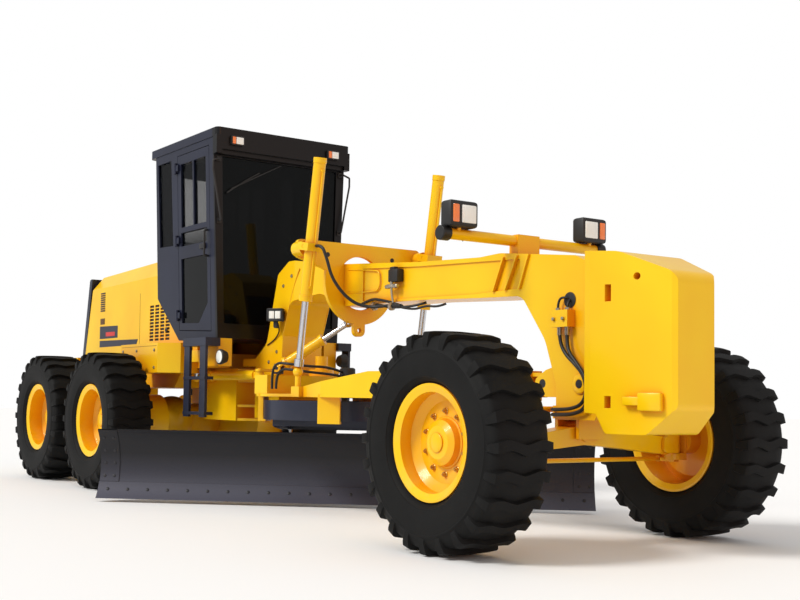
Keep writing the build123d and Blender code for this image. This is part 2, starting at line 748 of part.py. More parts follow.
def lean_bar():
    # crossbar behind the yokes' arms
    front = front_axle_x - beam_half - 28 - face_gap
    body = rod((lean_bar_x, -lean_bar_y, lean_bar_z), (lean_bar_x, lean_bar_y, lean_bar_z), lean_bar_r)
    for side in (-1, 1):
        body += rod((lean_bar_x - lean_bar_r - 2, side * lean_bar_y, lean_bar_z),
                    (front, side * lean_bar_y, lean_bar_z), lean_bar_r + 7)
    return body


def steer_knuckle():
    # left fork round the kingpin's boss, with the steering arm and the hub's seat
    body = rod((front_axle_x, kingpin_y, fork_low), (front_axle_x, kingpin_y, fork_high), kingpin_r)
    plate_y = kingpin_y + knuckle_r + 5
    for low, high in ((fork_low, boss_low - 5), (boss_high + 5, fork_high)):
        lug = outline((front_axle_x - 60, plate_y + 5), (front_axle_x - 60, kingpin_y, 40),
                      (front_axle_x - 40, kingpin_y - 45, 35), (front_axle_x + 40, kingpin_y - 45, 35),
                      (front_axle_x + 60, kingpin_y, 40), (front_axle_x + 60, plate_y + 5))
        body += plan_plate(lug, low, high)
    body += block(front_axle_x - 60, front_axle_x + 60, plate_y, front_hub_y - face_gap, fork_low, fork_high)
    arm_end = front_axle_x - steer_arm
    arm = outline((front_axle_x + 30, kingpin_y - 25), (front_axle_x + 30, kingpin_y + 25),
                  (arm_end, kingpin_y + 18), (arm_end, kingpin_y - 18))
    body += plan_plate(arm, fork_low - 15, fork_low + 10)
    body += rod((arm_end, kingpin_y, tie_rod_z - 15), (arm_end, kingpin_y, fork_low + 10), 18)
    return body


def tie_rod():
    # crossbar behind the steering arms
    front = front_axle_x - steer_arm - 18 - face_gap
    x = front - 17
    body = rod((x, -kingpin_y, tie_rod_z), (x, kingpin_y, tie_rod_z), 15)
    for side in (-1, 1):
        body += rod((x, side * kingpin_y, tie_rod_z - 20), (x, side * kingpin_y, tie_rod_z + 20), 17)
    return body


# ---- drawbar and circle --------------------------------------------------

def drawbar_ball():
    # cross-shaped block: level pin in the frame's ears, upright pin in the drawbar
    body = rod((ball_x, 0, ball_z - 44), (ball_x, 0, ball_z + 44), 52)
    body += rod((ball_x, -114, ball_z), (ball_x, 114, ball_z), pitch_pin_r)
    body += rod((ball_x, 0, ball_z - 74), (ball_x, 0, ball_z + 74), swing_pin_r)
    return body


def drawbar():
    top = drawbar_plate_z + 25
    half = drawbar_half
    rear = circle_x - 575
    bend = circle_x + 495
    deck = outline((rear, -half, 60), (bend, -half, 200), (4700, -430, 300), (5740, -90), (5740, 90),
                   (4700, 430, 300), (bend, half, 200), (rear, half, 60))
    body = plan_plate(deck, drawbar_plate_z, top)
    body -= rod((circle_x, 0, 900), (circle_x, 0, 1000), 430)
    body -= plan_plate(outline((bend + 130, -300, 60), (5200, -50, 40), (5200, 50, 40), (bend + 130, 300, 60)),
                       900, 1000)
    # two box beams that meet at the ball
    for side in (-1, 1):
        plan = outline((circle_x + 45, side * half), (circle_x + 45, side * (half - 130)),
                       (bend, side * (half - 150)), (5300, side * 20), (5740, side * -15), (5740, side * 90),
                       (4700, side * 428), (bend, side * half))
        beam = plan_plate(plan, top - 2, 1140)
        slope = side_plate(outline((circle_x - 55, 900), (circle_x - 55, 975), (4450, 1140), (5800, 1140),
                                   (5800, 900)), -700, 700)
        body += beam & slope
    # tongue plates on the ball's upright pin
    for low, high in ((ball_z - 74, ball_z - 48), (ball_z + 48, ball_z + 74)):
        tongue = outline((ball_x - 360, -88), (ball_x - 160, -58), (ball_x, -45), (ball_x + 48, -38, 25),
                         (ball_x + 48, 38, 25), (ball_x, 45), (ball_x - 160, 58), (ball_x - 360, 88))
        body += plan_plate(tongue, low, high)
        body -= rod((ball_x, 0, low - 5), (ball_x, 0, high + 5), swing_pin_r + pin_gap)
    body += block(5560, 5800, -85, 85, top - 2, ball_z + 74)
    # rear cross box
    body += block(rear + 5, rear + 220, -half + 5, half - 5, top - 2, 1120)
    # posts and balls of the lift rods
    for side in (-1, 1):
        body += block(eye_x - 60, eye_x + 60, side * (half - 60), side * (half + 40), top - 25, top + 60)
        body += rod((eye_x, side * trunnion_y, top + 50), (eye_x, side * trunnion_y, eye_z), 24)
        body += ball((eye_x, side * trunnion_y, eye_z), ball_r)
    # shoes that carry the circle
    for turn in (45, 135, 225, 315):
        place = Pos(circle_x, 0, 0) * Rot(0, 0, turn)
        body += place * block(circle_r + 5, circle_r + 50, -90, 90, circle_bottom_z - 20, top - 5)
        body += place * block(circle_r - 18, circle_r + 50, -90, 90, circle_bottom_z - 20,
                              circle_bottom_z - face_gap)
    # circle drive: gear case and motor
    body += rod((rear + 65, 60, top - 2), (rear + 65, 60, 1180), 110)
    body += rod((rear + 65, 60, 1100), (rear + 65, 60, 1300), 55)
    # swivel stud of the side-shift cylinder
    body += rod((shift_x, shift_y, 1110), (shift_x, shift_y, shift_z + 44), 20)
    return body


def circle_frame(sketch, u_from, u_to):
    # outline in (forwards of the blade, up), made solid between two places along the blade
    turn = math.radians(blade_angle)
    along = Vector(math.cos(turn), math.sin(turn), 0)
    face = Vector(math.sin(turn), -math.cos(turn), 0)
    start = Vector(circle_x, 0, 0) + along * max(u_from, u_to)
    place = Plane(origin=start, x_dir=face, z_dir=along * -1)
    return extrude(place * sketch, abs(u_to - u_from), dir=along * -1)


def circle():
    body = rod((circle_x, 0, circle_bottom_z), (circle_x, 0, circle_top_z), circle_r)
    body -= rod((circle_x, 0, circle_bottom_z - 5), (circle_x, 0, circle_top_z + 5), circle_inner_r)
    eye = tilt_pin_r + 25
    for way in (-1, 1):
        arm = outline((-350, circle_bottom_z + 5), (300, circle_bottom_z + 5), (300, 690, 20), (40, 665, 40),
                      (-225, 645, 60), (-225, 420, 100), (-tilt_back + eye, tilt_z + 20), (-tilt_back + eye, tilt_z),
                      (-tilt_back - eye, tilt_z), (-tilt_back - eye, 420), (-350, 640))
        body += circle_frame(arm, way * arm_in, way * arm_out)
        body += circle_frame(Pos(-tilt_back, tilt_z) * Circle(eye), way * arm_in, way * arm_out)
    # cross beams between the arms, under the ring
    body += circle_frame(outline((-345, 650), (-240, 650), (-240, circle_bottom_z + 5), (-345, circle_bottom_z + 5)),
                         -arm_in - 5, arm_in + 5)
    body += circle_frame(outline((215, 692), (300, 692), (300, circle_bottom_z + 5), (215, circle_bottom_z + 5)),
                         -arm_in - 5, arm_in + 5)
    body -= circle_frame(Pos(-tilt_back, tilt_z) * Circle(tilt_pin_r + pin_gap), -700, 700)
    return body


def blade_band(inner_r, outer_r, low, high):
    # part of the blade's curved section between two radii and two heights
    middle = blade_bottom_z + blade_height / 2
    reach = math.sqrt(blade_curve_r ** 2 - (blade_height / 2) ** 2)
    ring = Pos(reach, middle) * (Circle(outer_r) - Circle(inner_r))
    window = Pos(-300, (low + high) / 2) * Rectangle(2 * 300 + 2 * 100, high - low)
    return ring & window


def moldboard():
    half = blade_length / 2
    skin = blade_band(blade_curve_r, blade_curve_r + blade_thick, blade_bottom_z + 40,
                      blade_bottom_z + blade_height)
    body = circle_frame(skin, blade_shift - half, blade_shift + half)
    for low in (180, 440):
        rail = outline((-rail_back, low), (-110, low), (-110, low + 40), (-rail_back, low + 40))
        body += circle_frame(rail, blade_shift - 1500, blade_shift + 1500)
    return body


def cutting_edge():
    half = blade_length / 2
    strip = blade_band(blade_curve_r - edge_thick, blade_curve_r - fit_gap, blade_bottom_z,
                       blade_bottom_z + edge_height)
    return circle_frame(strip, blade_shift - half, blade_shift + half)


def blade_carrier():
    body = circle_frame(Pos(-tilt_back, tilt_z) * Circle(34), -520, 520)
    body += circle_frame(Pos(-tilt_back, tilt_z) * Circle(tilt_pin_r), -arm_out - 3, arm_out + 3)
    for way in (-1, 1):
        clamp = outline((-rail_back - 38, 150), (-rail_back - 38, 510), (-rail_back + 26, 510),
                        (-rail_back + 26, 480 + face_gap), (-rail_back - face_gap, 480 + face_gap),
                        (-rail_back - face_gap, 180 - face_gap), (-rail_back + 26, 180 - face_gap),
                        (-rail_back + 26, 150))
        body += circle_frame(clamp, way * 380, way * 520)
        web = outline((-tilt_back, tilt_z - 25), (-rail_back - 10, tilt_z - 25), (-rail_back - 10, tilt_z + 25),
                      (-tilt_back, tilt_z + 25))
        body += circle_frame(web, way * 385, way * 515)
    return body


# ---- cylinders -----------------------------------------------------------

lift_top = 715           # barrel above its trunnion
lift_bottom = 440        # barrel below its trunnion
lift_r = 50
lift_rod_r = 27
barrel_pin_r = 16


def lift_axis():
    # unit vector from the left trunnion down to its ball
    path = Vector(eye_x - trunnion_x, 0, eye_z - trunnion_z)
    return path.normalized()


def lift_point(distance):
    step = lift_axis() * distance
    return (trunnion_x + step.X, trunnion_y, trunnion_z + step.Z)


def lift_yoke():
    # ring round the left barrel: level pin fore and aft, bores left and right
    path = lift_axis()
    place = Plane(origin=(trunnion_x, trunnion_y, trunnion_z), x_dir=(-path.Z, 0, path.X), z_dir=path)
    body = place * (Box(150, 156, 64) - Box(118, 118, 70))
    body -= rod((trunnion_x, trunnion_y - 90, trunnion_z), (trunnion_x, trunnion_y + 90, trunnion_z),
                barrel_pin_r + pin_gap)
    body += rod((saddle_x + 5, trunnion_y, trunnion_z), (trunnion_x - 62, trunnion_y, trunnion_z), yoke_pin_r)
    return body


def lift_barrel():
    body = tube(lift_point(-lift_top), lift_point(lift_bottom), lift_r, lift_rod_r + 6)
    body += rod(lift_point(-lift_top), lift_point(-lift_top + 25), lift_r + 4)
    body += tube(lift_point(lift_bottom - 40), lift_point(lift_bottom), lift_r + 6, lift_rod_r + pin_gap)
    pin = rod((trunnion_x, trunnion_y - 76, trunnion_z), (trunnion_x, trunnion_y + 76, trunnion_z), barrel_pin_r)
    body += pin - rod((trunnion_x, trunnion_y - 40, trunnion_z), (trunnion_x, trunnion_y + 40, trunnion_z),
                      barrel_pin_r + 1)
    return body


def lift_rod():
    reach = (Vector(eye_x, 0, eye_z) - Vector(trunnion_x, 0, trunnion_z)).length
    end = reach - ball_r - 5
    body = rod(lift_point(-lift_top + 430), lift_point(end - 20), lift_rod_r)
    body += rod(lift_point(end - 60), lift_point(end), 40)
    return body


shift_x = circle_x - 410           # swivel of the side-shift cylinder on the drawbar
shift_y = -440
shift_z = 1180
shift_eye = (3535, -20, 1585)
shift_reach = 724        # swivel to the rod's eye


def shift_way():
    return (Vector(*shift_eye) - Vector(shift_x, shift_y, shift_z)).normalized()


def shift_point(distance, sideways=0):
    way = shift_way()
    across = Vector(-way.Y, way.X, 0).normalized()
    spot = Vector(shift_x, shift_y, shift_z) + way * distance + across * sideways
    return (spot.X, spot.Y, spot.Z)


def shift_ball():
    body = rod((shift_x, shift_y, 1131), (shift_x, shift_y, shift_z + 38), 42)
    body += rod(shift_point(0, -74), shift_point(0, 74), 15)
    body -= rod((shift_x, shift_y, 1120), (shift_x, shift_y, shift_z + 45), 20 + pin_gap)
    return body


def shift_barrel():
    body = tube(shift_point(90), shift_point(470), 44, 31)
    body += rod(shift_point(72), shift_point(95), 60)
    body += tube(shift_point(94), shift_point(104), 52, 40)
    body += tube(shift_point(440), shift_point(470), 50, 22 + pin_gap)
    for way in (-1, 1):
        body += rod(shift_point(0, way * 47), shift_point(0, way * 70), 34)
        body += rod(shift_point(0, way * 58.5), shift_point(80, way * 58.5), 13)
        body -= rod(shift_point(0, way * 40), shift_point(0, way * 80), 15 + pin_gap)
    return body


def shift_rod():
    end = shift_point(shift_reach)
    body = rod(shift_point(300), shift_point(shift_reach - 20), 22)
    body += rod((end[0] - 18, end[1], end[2]), (end[0] + 18, end[1], end[2]), 34)
    body -= rod((end[0] - 30, end[1], end[2]), (end[0] + 30, end[1], end[2]), 16)
    return body


def artic_barrel():
    # left side; eye on the pin of the front frame's lugs
    end = artic_front_x - 910
    body = tube((artic_front_x - 80, artic_y, artic_z), (end, artic_y, artic_z), artic_r, 30)
    body += rod((artic_front_x - 90, artic_y, artic_z), (artic_front_x - 72, artic_y, artic_z), artic_r)
    body += tube((end + 40, artic_y, artic_z), (end, artic_y, artic_z), artic_r + 6, artic_rod_r + pin_gap)
    body += rod((artic_front_x, artic_y, artic_z - 29), (artic_front_x, artic_y, artic_z + 29), 36)
    body += block(artic_front_x - 80, artic_front_x - 20, artic_y - 28, artic_y + 28, artic_z - 28, artic_z + 28)
    body -= rod((artic_front_x, artic_y, artic_z - 60), (artic_front_x, artic_y, artic_z + 60),
                artic_pin_r + pin_gap)
    return body


def artic_rod():
    body = rod((artic_rear_x + 30, artic_y, artic_z), (artic_rear_x + 770, artic_y, artic_z), artic_rod_r)
    body += rod((artic_rear_x, artic_y, artic_z - 24), (artic_rear_x, artic_y, artic_z + 24), 38)
    body -= rod((artic_rear_x, artic_y, artic_z - 60), (artic_rear_x, artic_y, artic_z + 60), artic_pin_r)
    return body


# ---- hand over -----------------------------------------------------------

wheel_table = [          # name, station, side, inner hub face, hub radius, disc
    ("rear_right", -tandem_half, -1, 850 + face_gap - wheel_y, 120, -40),
    ("rear_left", -tandem_half, 1, 850 + face_gap - wheel_y, 120, -40),
    ("middle_right", tandem_half, -1, 850 + face_gap - wheel_y, 120, -40),
    ("middle_left", tandem_half, 1, 850 + face_gap - wheel_y, 120, -40),
    ("front_right", front_axle_x, -1, front_hub_y - wheel_y, 95, 20),
    ("front_left", front_axle_x, 1, front_hub_y - wheel_y, 95, 20),
]

plain_tyre = tyre()
for name, station, side, hub_face, hub_r, disc in wheel_table:
    place = Pos(station, side * wheel_y, wheel_z)
    save("tyre_" + name, place * plain_tyre)
    save("rim_" + name, place * rim(side, hub_face, hub_r, disc))

single_nodes = [rear_frame, rear_axle, hood, radiator_guard, engine, side_tanks, cab_frame, cab_roof,
                cab_glass, cab_interior, cab_fittings, ladders, tower, gooseneck, hoses, saddle,
                front_weight, lamp_bar, front_axle, lean_bar, tie_rod, drawbar_ball, drawbar, circle,
                moldboard, cutting_edge, blade_carrier, shift_ball, shift_barrel, shift_rod]
for make in single_nodes:
    save(make.__name__, make())

for make in (lean_knuckle, steer_knuckle, lift_yoke, lift_barrel, lift_rod, artic_barrel, artic_rod):
    left = make()
    save(make.__name__ + "_left", left)
    save(make.__name__ + "_right", mirrored(left))

right_door = door()
right_pane = door_glass()
save("door_right", right_door)
save("door_left", mirrored(right_door))
save("door_right_glass", right_pane)
save("door_left_glass", mirrored(right_pane))
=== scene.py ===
import math
import json
import bpy
import bmesh
from mathutils import Matrix, Vector

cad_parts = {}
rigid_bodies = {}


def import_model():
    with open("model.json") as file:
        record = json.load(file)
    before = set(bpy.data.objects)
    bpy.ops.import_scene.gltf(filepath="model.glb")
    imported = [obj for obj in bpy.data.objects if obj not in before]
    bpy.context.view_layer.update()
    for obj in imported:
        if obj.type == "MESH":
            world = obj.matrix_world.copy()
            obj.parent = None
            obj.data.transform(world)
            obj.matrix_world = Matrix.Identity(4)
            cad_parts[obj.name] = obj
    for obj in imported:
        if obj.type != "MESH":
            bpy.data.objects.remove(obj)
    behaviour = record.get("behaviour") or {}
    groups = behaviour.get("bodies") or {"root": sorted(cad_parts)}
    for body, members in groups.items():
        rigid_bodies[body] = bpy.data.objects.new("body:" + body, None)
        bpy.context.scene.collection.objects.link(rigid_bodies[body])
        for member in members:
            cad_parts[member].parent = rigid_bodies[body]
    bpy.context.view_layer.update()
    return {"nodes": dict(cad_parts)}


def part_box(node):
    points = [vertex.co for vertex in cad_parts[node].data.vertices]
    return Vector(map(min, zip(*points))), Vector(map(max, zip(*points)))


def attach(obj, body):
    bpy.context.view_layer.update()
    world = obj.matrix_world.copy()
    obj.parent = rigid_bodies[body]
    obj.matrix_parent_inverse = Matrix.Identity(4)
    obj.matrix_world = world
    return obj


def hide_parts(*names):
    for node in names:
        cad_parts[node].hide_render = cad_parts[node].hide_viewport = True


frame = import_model()
nodes = frame["nodes"]
sceneObjects = bpy.context.scene.collection.objects
sides = ((-1, "right"), (1, "left"))
print("frame loaded:", len(nodes), "nodes")


# shader helpers

class Sock:
    # wraps an output socket, so that shader maths reads like plain expressions
    def __init__(self, tree, out):
        self.tree = tree
        self.out = out

    def maths(self, operation, a, b):
        return self.tree.node("ShaderNodeMath", {"operation": operation}, {0: a, 1: b})

    def __add__(self, other):
        return self.maths("ADD", self, other)

    __radd__ = __add__

    def __mul__(self, other):
        return self.maths("MULTIPLY", self, other)

    __rmul__ = __mul__

    def __sub__(self, other):
        return self.maths("SUBTRACT", self, other)

    def __rsub__(self, other):
        return self.maths("SUBTRACT", other, self)


class Finish:
    # one material and its node tree
    def __init__(self, name):
        self.material = bpy.data.materials.new(name)
        self.material.use_nodes = True
        self.nodes = self.material.node_tree.nodes
        self.links = self.material.node_tree.links
        self.shader = self.nodes["Principled BSDF"]

    def plug(self, value, socket):
        if isinstance(value, Sock):
            self.links.new(value.out, socket)
        else:
            socket.default_value = value

    def node(self, kind, settings, inputs, out=0):
        made = self.nodes.new(kind)
        for key, value in settings.items():
            setattr(made, key, value)
        for key, value in inputs.items():
            self.plug(value, made.inputs[key])
        return Sock(self, made.outputs[out])

    def place(self):
        return self.node("ShaderNodeTexCoord", {}, {}, "Object")

    def along(self, axis):
        return self.node("ShaderNodeSeparateXYZ", {}, {"Vector": self.place()}, axis)

    def noise(self, scale, detail=3.0, rough=0.5):
        return self.node("ShaderNodeTexNoise", {}, {"Vector": self.place(), "Scale": scale,
                                                    "Detail": detail, "Roughness": rough}, "Fac")

    def ramp(self, value, low, high):
        # 0 below low, 1 above high
        return self.node("ShaderNodeMapRange", {}, {"Value": value, "From Min": low, "From Max": high})

    def mix(self, factor, a, b):
        return self.node("ShaderNodeMix", {"data_type": "RGBA"},
                         {0: factor, 6: a if isinstance(a, Sock) else (*a, 1),
                          7: b if isinstance(b, Sock) else (*b, 1)}, 2)

    def softEdge(self, radius):
        return self.node("ShaderNodeBevel", {"samples": 4}, {"Radius": radius})

    def bump(self, height, distance, strength=1.0, normal=None):
        inputs = {"Height": height, "Distance": distance, "Strength": strength}
        if normal:
            inputs["Normal"] = normal
        return self.node("ShaderNodeBump", {}, inputs)

    def put(self, **values):
        for key, value in values.items():
            if isinstance(value, tuple) and len(value) == 3:
                value = (*value, 1)
            self.plug(value, self.shader.inputs[key.replace("_", " ")])


def linear(red, green, blue):
    # display colour, 0 to 255, as scene-linear numbers
    shares = [value / 255 for value in (red, green, blue)]
    return tuple(share / 12.92 if share <= 0.04045 else ((share + 0.055) / 1.055) ** 2.4 for share in shares)


def shaded(tint, share, extra=0.0):
    return tuple(channel * share + extra for channel in tint)


# finishes

# the corner share and reach set how much painted shade goes into corners and hollows, and how far it reaches
enamel = {
    "driftScale": 1.7, "cloudScale": 7.0, "speckScale": 90.0, "cornerShadeReach": 0.35, "cornerShadeShare": 0.75,
    "dustFoot": 0.2, "dustTop": 0.9, "dustShare": 0.35, "dustRough": 0.8, "speckShare": 0.35,
    "rough": 0.34, "edge": 0.004, "peelScale": 300.0, "peelDepth": 0.0004, "peelShare": 0.35,
    "coat": 0.15, "coatRough": 0.08, "specular": 0.3}
# in each look, corner is the tint of the painted shade in corners and hollows
paintLook = {
    **enamel, "colour": linear(243, 198, 12), "deep": linear(240, 185, 8), "dust": linear(214, 184, 118),
    "grime": linear(150, 96, 24), "corner": linear(226, 116, 8), "rough": 0.27, "peelScale": 260.0}
navyLook = {
    **enamel, "colour": linear(34, 39, 58), "deep": linear(28, 32, 48), "dust": linear(96, 94, 94),
    "grime": linear(22, 22, 28), "corner": linear(24, 26, 38)}
cabLook = {
    **enamel, "colour": linear(27, 32, 52), "deep": linear(23, 27, 44), "front": linear(6, 6, 9),
    "frontFrom": -0.445, "change": 0.02, "cloudScale": 6.0, "edge": 0.005, "coat": 0.08, "coatRough": 0.1,
    "specular": 0.25}


def enamelled(f, look, colour, rough):
    # orange peel over softened edges, under a thin clear coat
    peel = f.bump(f.noise(look["peelScale"], 1.0), look["peelDepth"], look["peelShare"],
                  f.softEdge(look["edge"]))
    f.put(Base_Color=colour, Roughness=rough, Normal=peel, Coat_Weight=look["coat"],
          Coat_Roughness=look["coatRough"], Specular_IOR_Level=look["specular"])
    return f.material


def drifting(f, look):
    # slow change between two close tints
    return f.mix(f.ramp(f.noise(look["driftScale"], 2.0), 0.35, 0.7), look["colour"], look["deep"])


def makePaint(name, look):
    # enamel, with painted shade in corners (a deeper, orange tint where they close in), and a little dust and
    # grime low down
    f = Finish(name)
    cloud = f.noise(look["cloudScale"], 5.0, 0.6)
    # ambient occlusion tints the colour towards the corner tint in hollows: painted shade
    hollow = f.node("ShaderNodeAmbientOcclusion", {"samples": 6}, {"Distance": look["cornerShadeReach"]}, "AO")
    corner = (1.0 - f.ramp(hollow, 0.25, 0.95)) * look["cornerShadeShare"]
    colour = f.mix(corner, drifting(f, look), look["corner"])
    low = 1.0 - f.ramp(f.along(2), look["dustFoot"], look["dustTop"])
    dusty = low * f.ramp(cloud, 0.45, 0.75) * look["dustShare"]
    colour = f.mix(dusty, colour, look["dust"])
    speck = f.ramp(f.noise(look["speckScale"], 4.0, 0.7), 0.68, 0.8) * look["speckShare"]
    colour = f.mix(speck * low, colour, look["grime"])
    return enamelled(f, look, colour, look["rough"] + dusty * look["dustRough"] + cloud * 0.06)


def makeCabPaint(look):
    # navy at the sides, near black round the windshield
    f = Finish("cabEnamel")
    cloud = f.noise(look["cloudScale"], 4.0, 0.6)
    front = f.ramp(f.along(0), look["frontFrom"], look["frontFrom"] + look["change"])
    return enamelled(f, look, f.mix(front, drifting(f, look), look["front"]), look["rough"] + cloud * 0.1)


rubberLook = {
    "clean": linear(8, 8, 8), "dusty": linear(22, 22, 21), "dustShare": 0.5, "rough": 0.58,
    "grainScale": 240.0, "grainDepth": 0.0012, "grainShare": 0.5, "specular": 0.2}


def makeTyreRubber(look):
    f = Finish("tyreRubber")
    dust = f.ramp(f.noise(5.0, 6.0, 0.65), 0.42, 0.78)
    fine = f.noise(look["grainScale"], 3.0, 0.6)
    f.put(Base_Color=f.mix(dust * look["dustShare"], look["clean"], look["dusty"]),
          Roughness=look["rough"] + fine * 0.2, Specular_IOR_Level=look["specular"],
          Normal=f.bump(fine, look["grainDepth"], look["grainShare"]))
    return f.material


steelLook = {
    "dark": linear(28, 28, 33), "paintedSheen": linear(80, 80, 94), "scuff": linear(16, 16, 20), "paintedSheenShare": 0.85,
    "paintedSheenFoot": 0.04, "paintedSheenTop": 0.42, "scuffShare": 0.25, "brushScale": 60.0, "rough": 0.36,
    "metallic": 0.35}


def makeBladeSteel(look):
    # dark coated mouldboard with a painted violet sheen, a painted highlight that gets paler lower down,
    # towards the edge
    f = Finish("bladeSteel")
    # paler lower down on the curved face: painted highlight
    paintedSheen = 1.0 - f.ramp(f.along(2), look["paintedSheenFoot"], look["paintedSheenTop"])
    brush = f.noise(look["brushScale"], 4.0, 0.6)
    colour = f.mix(paintedSheen * look["paintedSheenShare"], look["dark"], look["paintedSheen"])
    colour = f.mix(f.ramp(brush, 0.55, 0.8) * look["scuffShare"], colour, look["scuff"])
    f.put(Base_Color=colour, Roughness=look["rough"] + brush * 0.16, Metallic=look["metallic"],
          Normal=f.bump(brush, 0.0006, 0.4))
    return f.material


def makeMetal(name, tint, rough, metallic=1.0):
    f = Finish(name)
    grain = f.noise(140.0, 3.0, 0.6)
    f.put(Base_Color=f.mix(f.ramp(grain, 0.4, 0.7) * 0.4, tint, shaded(tint, 0.7)),
          Roughness=rough + grain * 0.08, Metallic=metallic, Normal=f.bump(grain, 0.0002, 0.3))
    return f.material


def makePlastic(name, tint, rough):
    f = Finish(name)
    grain = f.noise(420.0, 2.0)
    patch = f.noise(9.0, 3.0)
    f.put(Base_Color=f.mix(f.ramp(patch, 0.4, 0.7) * 0.5, tint, shaded(tint, 1.6, 0.004)),
          Roughness=rough + patch * 0.1, Normal=f.bump(grain, 0.0003, 0.4))
    return f.material


paneLook = {
    "tint": linear(7, 9, 10), "clear": 0.36, "dark": 0.93, "smear": 0.05, "rough": 0.03, "specular": 0.15}


def makeGlass(name, axis, start, end, look=paneLook):
    # tinted pane, from the clear part at start to the dark part at end along an axis
    f = Finish(name)
    smear = f.noise(3.0, 3.0)
    shade = f.ramp(f.along(axis), start, end) * (look["dark"] - look["clear"])
    f.put(Base_Color=look["tint"], Roughness=look["rough"] + smear * 0.02,
          Alpha=shade + smear * look["smear"] + look["clear"], Specular_IOR_Level=look["specular"])
    return f.material


def makeLens(name, tint, glow):
    # ribbed glass with a coat and a faint light of its own
    f = Finish(name)
    ribs = f.node("ShaderNodeTexWave", {"wave_type": "BANDS", "bands_direction": "Y"},
                  {"Vector": f.place(), "Scale": 38.0}, "Fac")
    f.put(Base_Color=f.mix(ribs * 0.5, tint, shaded(tint, 0.7)), Roughness=0.12,
          Normal=f.bump(ribs, 0.002, 0.5), Coat_Weight=0.8, Coat_Roughness=0.03, Emission_Color=tint,
          Emission_Strength=glow)
    return f.material


yellowPaint = makePaint("yellowEnamel", paintLook)
navyPaint = makePaint("navyEnamel", navyLook)
cabPaint = makeCabPaint(cabLook)
tyreRubber = makeTyreRubber(rubberLook)
bladeSteel = makeBladeSteel(steelLook)
chromeRod = makeMetal("polishedRod", linear(205, 205, 208), 0.12)
bareSteel = makeMetal("zincSteel", linear(176, 170, 158), 0.34)
castIron = makeMetal("darkIron", linear(52, 52, 56), 0.5, 0.5)
brassyZinc = makeMetal("wheelNutZinc", linear(196, 152, 84), 0.3)
trimPlastic = makePlastic("blackTrim", linear(22, 22, 24), 0.5)
hoseRubber = makePlastic("hoseRubber", linear(16, 16, 17), 0.45)
redPaint = makePlastic("redStripe", linear(196, 40, 34), 0.35)
seatCloth = makePlastic("seatCloth", linear(44, 46, 52), 0.8)
seamShade = makePlastic("panelJoint", linear(120, 84, 12), 0.6)
frontGlass = makeGlass("cabGlass", 0, -0.55, -0.5)
doorGlass = makeGlass("doorGlass", 2, 2.52, 2.26)
clearLens = makeLens("clearLens", linear(235, 236, 230), 0.12)
amberLens = makeLens("amberLens", linear(236, 120, 44), 0.15)

# every other node is painted yellow
finishes = (
    (cabPaint, ("cab_frame", "cab_roof", "door_right", "door_left")),
    (navyPaint, ("radiator_guard", "circle", "ladders")),
    (frontGlass, ("cab_glass",)),
    (doorGlass, ("door_right_glass", "door_left_glass")),
    (trimPlastic, ("cab_interior", "cab_fittings")),
    (hoseRubber, ("hoses",)),
    (castIron, ("engine", "drawbar_ball", "blade_carrier", "shift_ball")),
    (bladeSteel, ("moldboard", "cutting_edge")),
    (chromeRod, ("shift_rod", "lift_rod_left", "lift_rod_right", "artic_rod_left", "artic_rod_right")))
materialOf = {node: material for material, members in finishes for node in members}
for name, node in nodes.items():
    node.data.materials.clear()
    node.data.materials.append(materialOf.get(name, yellowPaint))
print("finishes made")


# mesh helpers; a profile is a list of (along the axis, radius)

def makePiece(name, bm, material, body, smooth=True):
    mesh = bpy.data.meshes.new(name)
    bmesh.ops.recalc_face_normals(bm, faces=bm.faces)
    bm.to_mesh(mesh)
    bm.free()
    mesh.materials.append(material)
    piece = bpy.data.objects.new(name, mesh)
    sceneObjects.link(piece)
    if smooth:
        mesh.polygons.foreach_set("use_smooth", [True] * len(mesh.polygons))
        mesh.set_sharp_from_angle(angle=math.radians(38))
    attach(piece, body)
    return piece


def roundBox(bm, one, other, radius, turn=None):
    # block with rounded edges between two corners in any order, turned by a matrix where one is given
    xs, ys, zs = (sorted(pair) for pair in zip(one, other))
    places = [Vector((x, y, z)) for x in xs for y in ys for z in zs]
    corners = [bm.verts.new(turn @ place if turn else place) for place in places]
    quads = ((0, 1, 3, 2), (4, 6, 7, 5), (0, 4, 5, 1), (2, 3, 7, 6), (0, 2, 6, 4), (1, 5, 7, 3))
    faces = [bm.faces.new([corners[i] for i in quad]) for quad in quads]
    edges = list({edge for face in faces for edge in face.edges})
    bmesh.ops.bevel(bm, geom=edges, offset=radius, segments=2, profile=0.5, affect="EDGES")


def addBoxes(bm, boxes, start=(0, 0, 0), side=1, turn=None):
    # boxes of (corner, corner, rounding) from a starting place; side -1 mirrors them
    for one, other, radius in boxes:
        corners = [(start[0] + x, start[1] + side * y, start[2] + z) for x, y, z in (one, other)]
        roundBox(bm, *corners, radius, turn)


def boxPiece(name, boxes, material, body, start=(0, 0, 0), side=1, turn=None):
    bm = bmesh.new()
    addBoxes(bm, boxes, start, side, turn)
    makePiece(name, bm, material, body)


def aim(place, forward):
    # matrix that turns local +X to a level direction and moves to a place
    ahead = Vector(forward).normalized()
    left = Vector((0, 0, 1)).cross(ahead).normalized()
    up = ahead.cross(left)
    return Matrix.Translation(Vector(place)) @ Matrix((ahead, left, up)).transposed().to_4x4()


def sidePlate(bm, outline, y, out, thick):
    # flat upright plate: closed outline of (x, z) at y, thickened sideways
    near = [bm.verts.new(Vector((x, y, z))) for x, z in outline]
    far = [bm.verts.new(Vector((x, y, z)) + Vector((0, out, 0)) * thick) for x, z in outline]
    bm.faces.new(near)
    bm.faces.new(far[::-1])
    for i in range(len(near)):
        j = (i + 1) % len(near)
        bm.faces.new((near[i], far[i], far[j], near[j]))


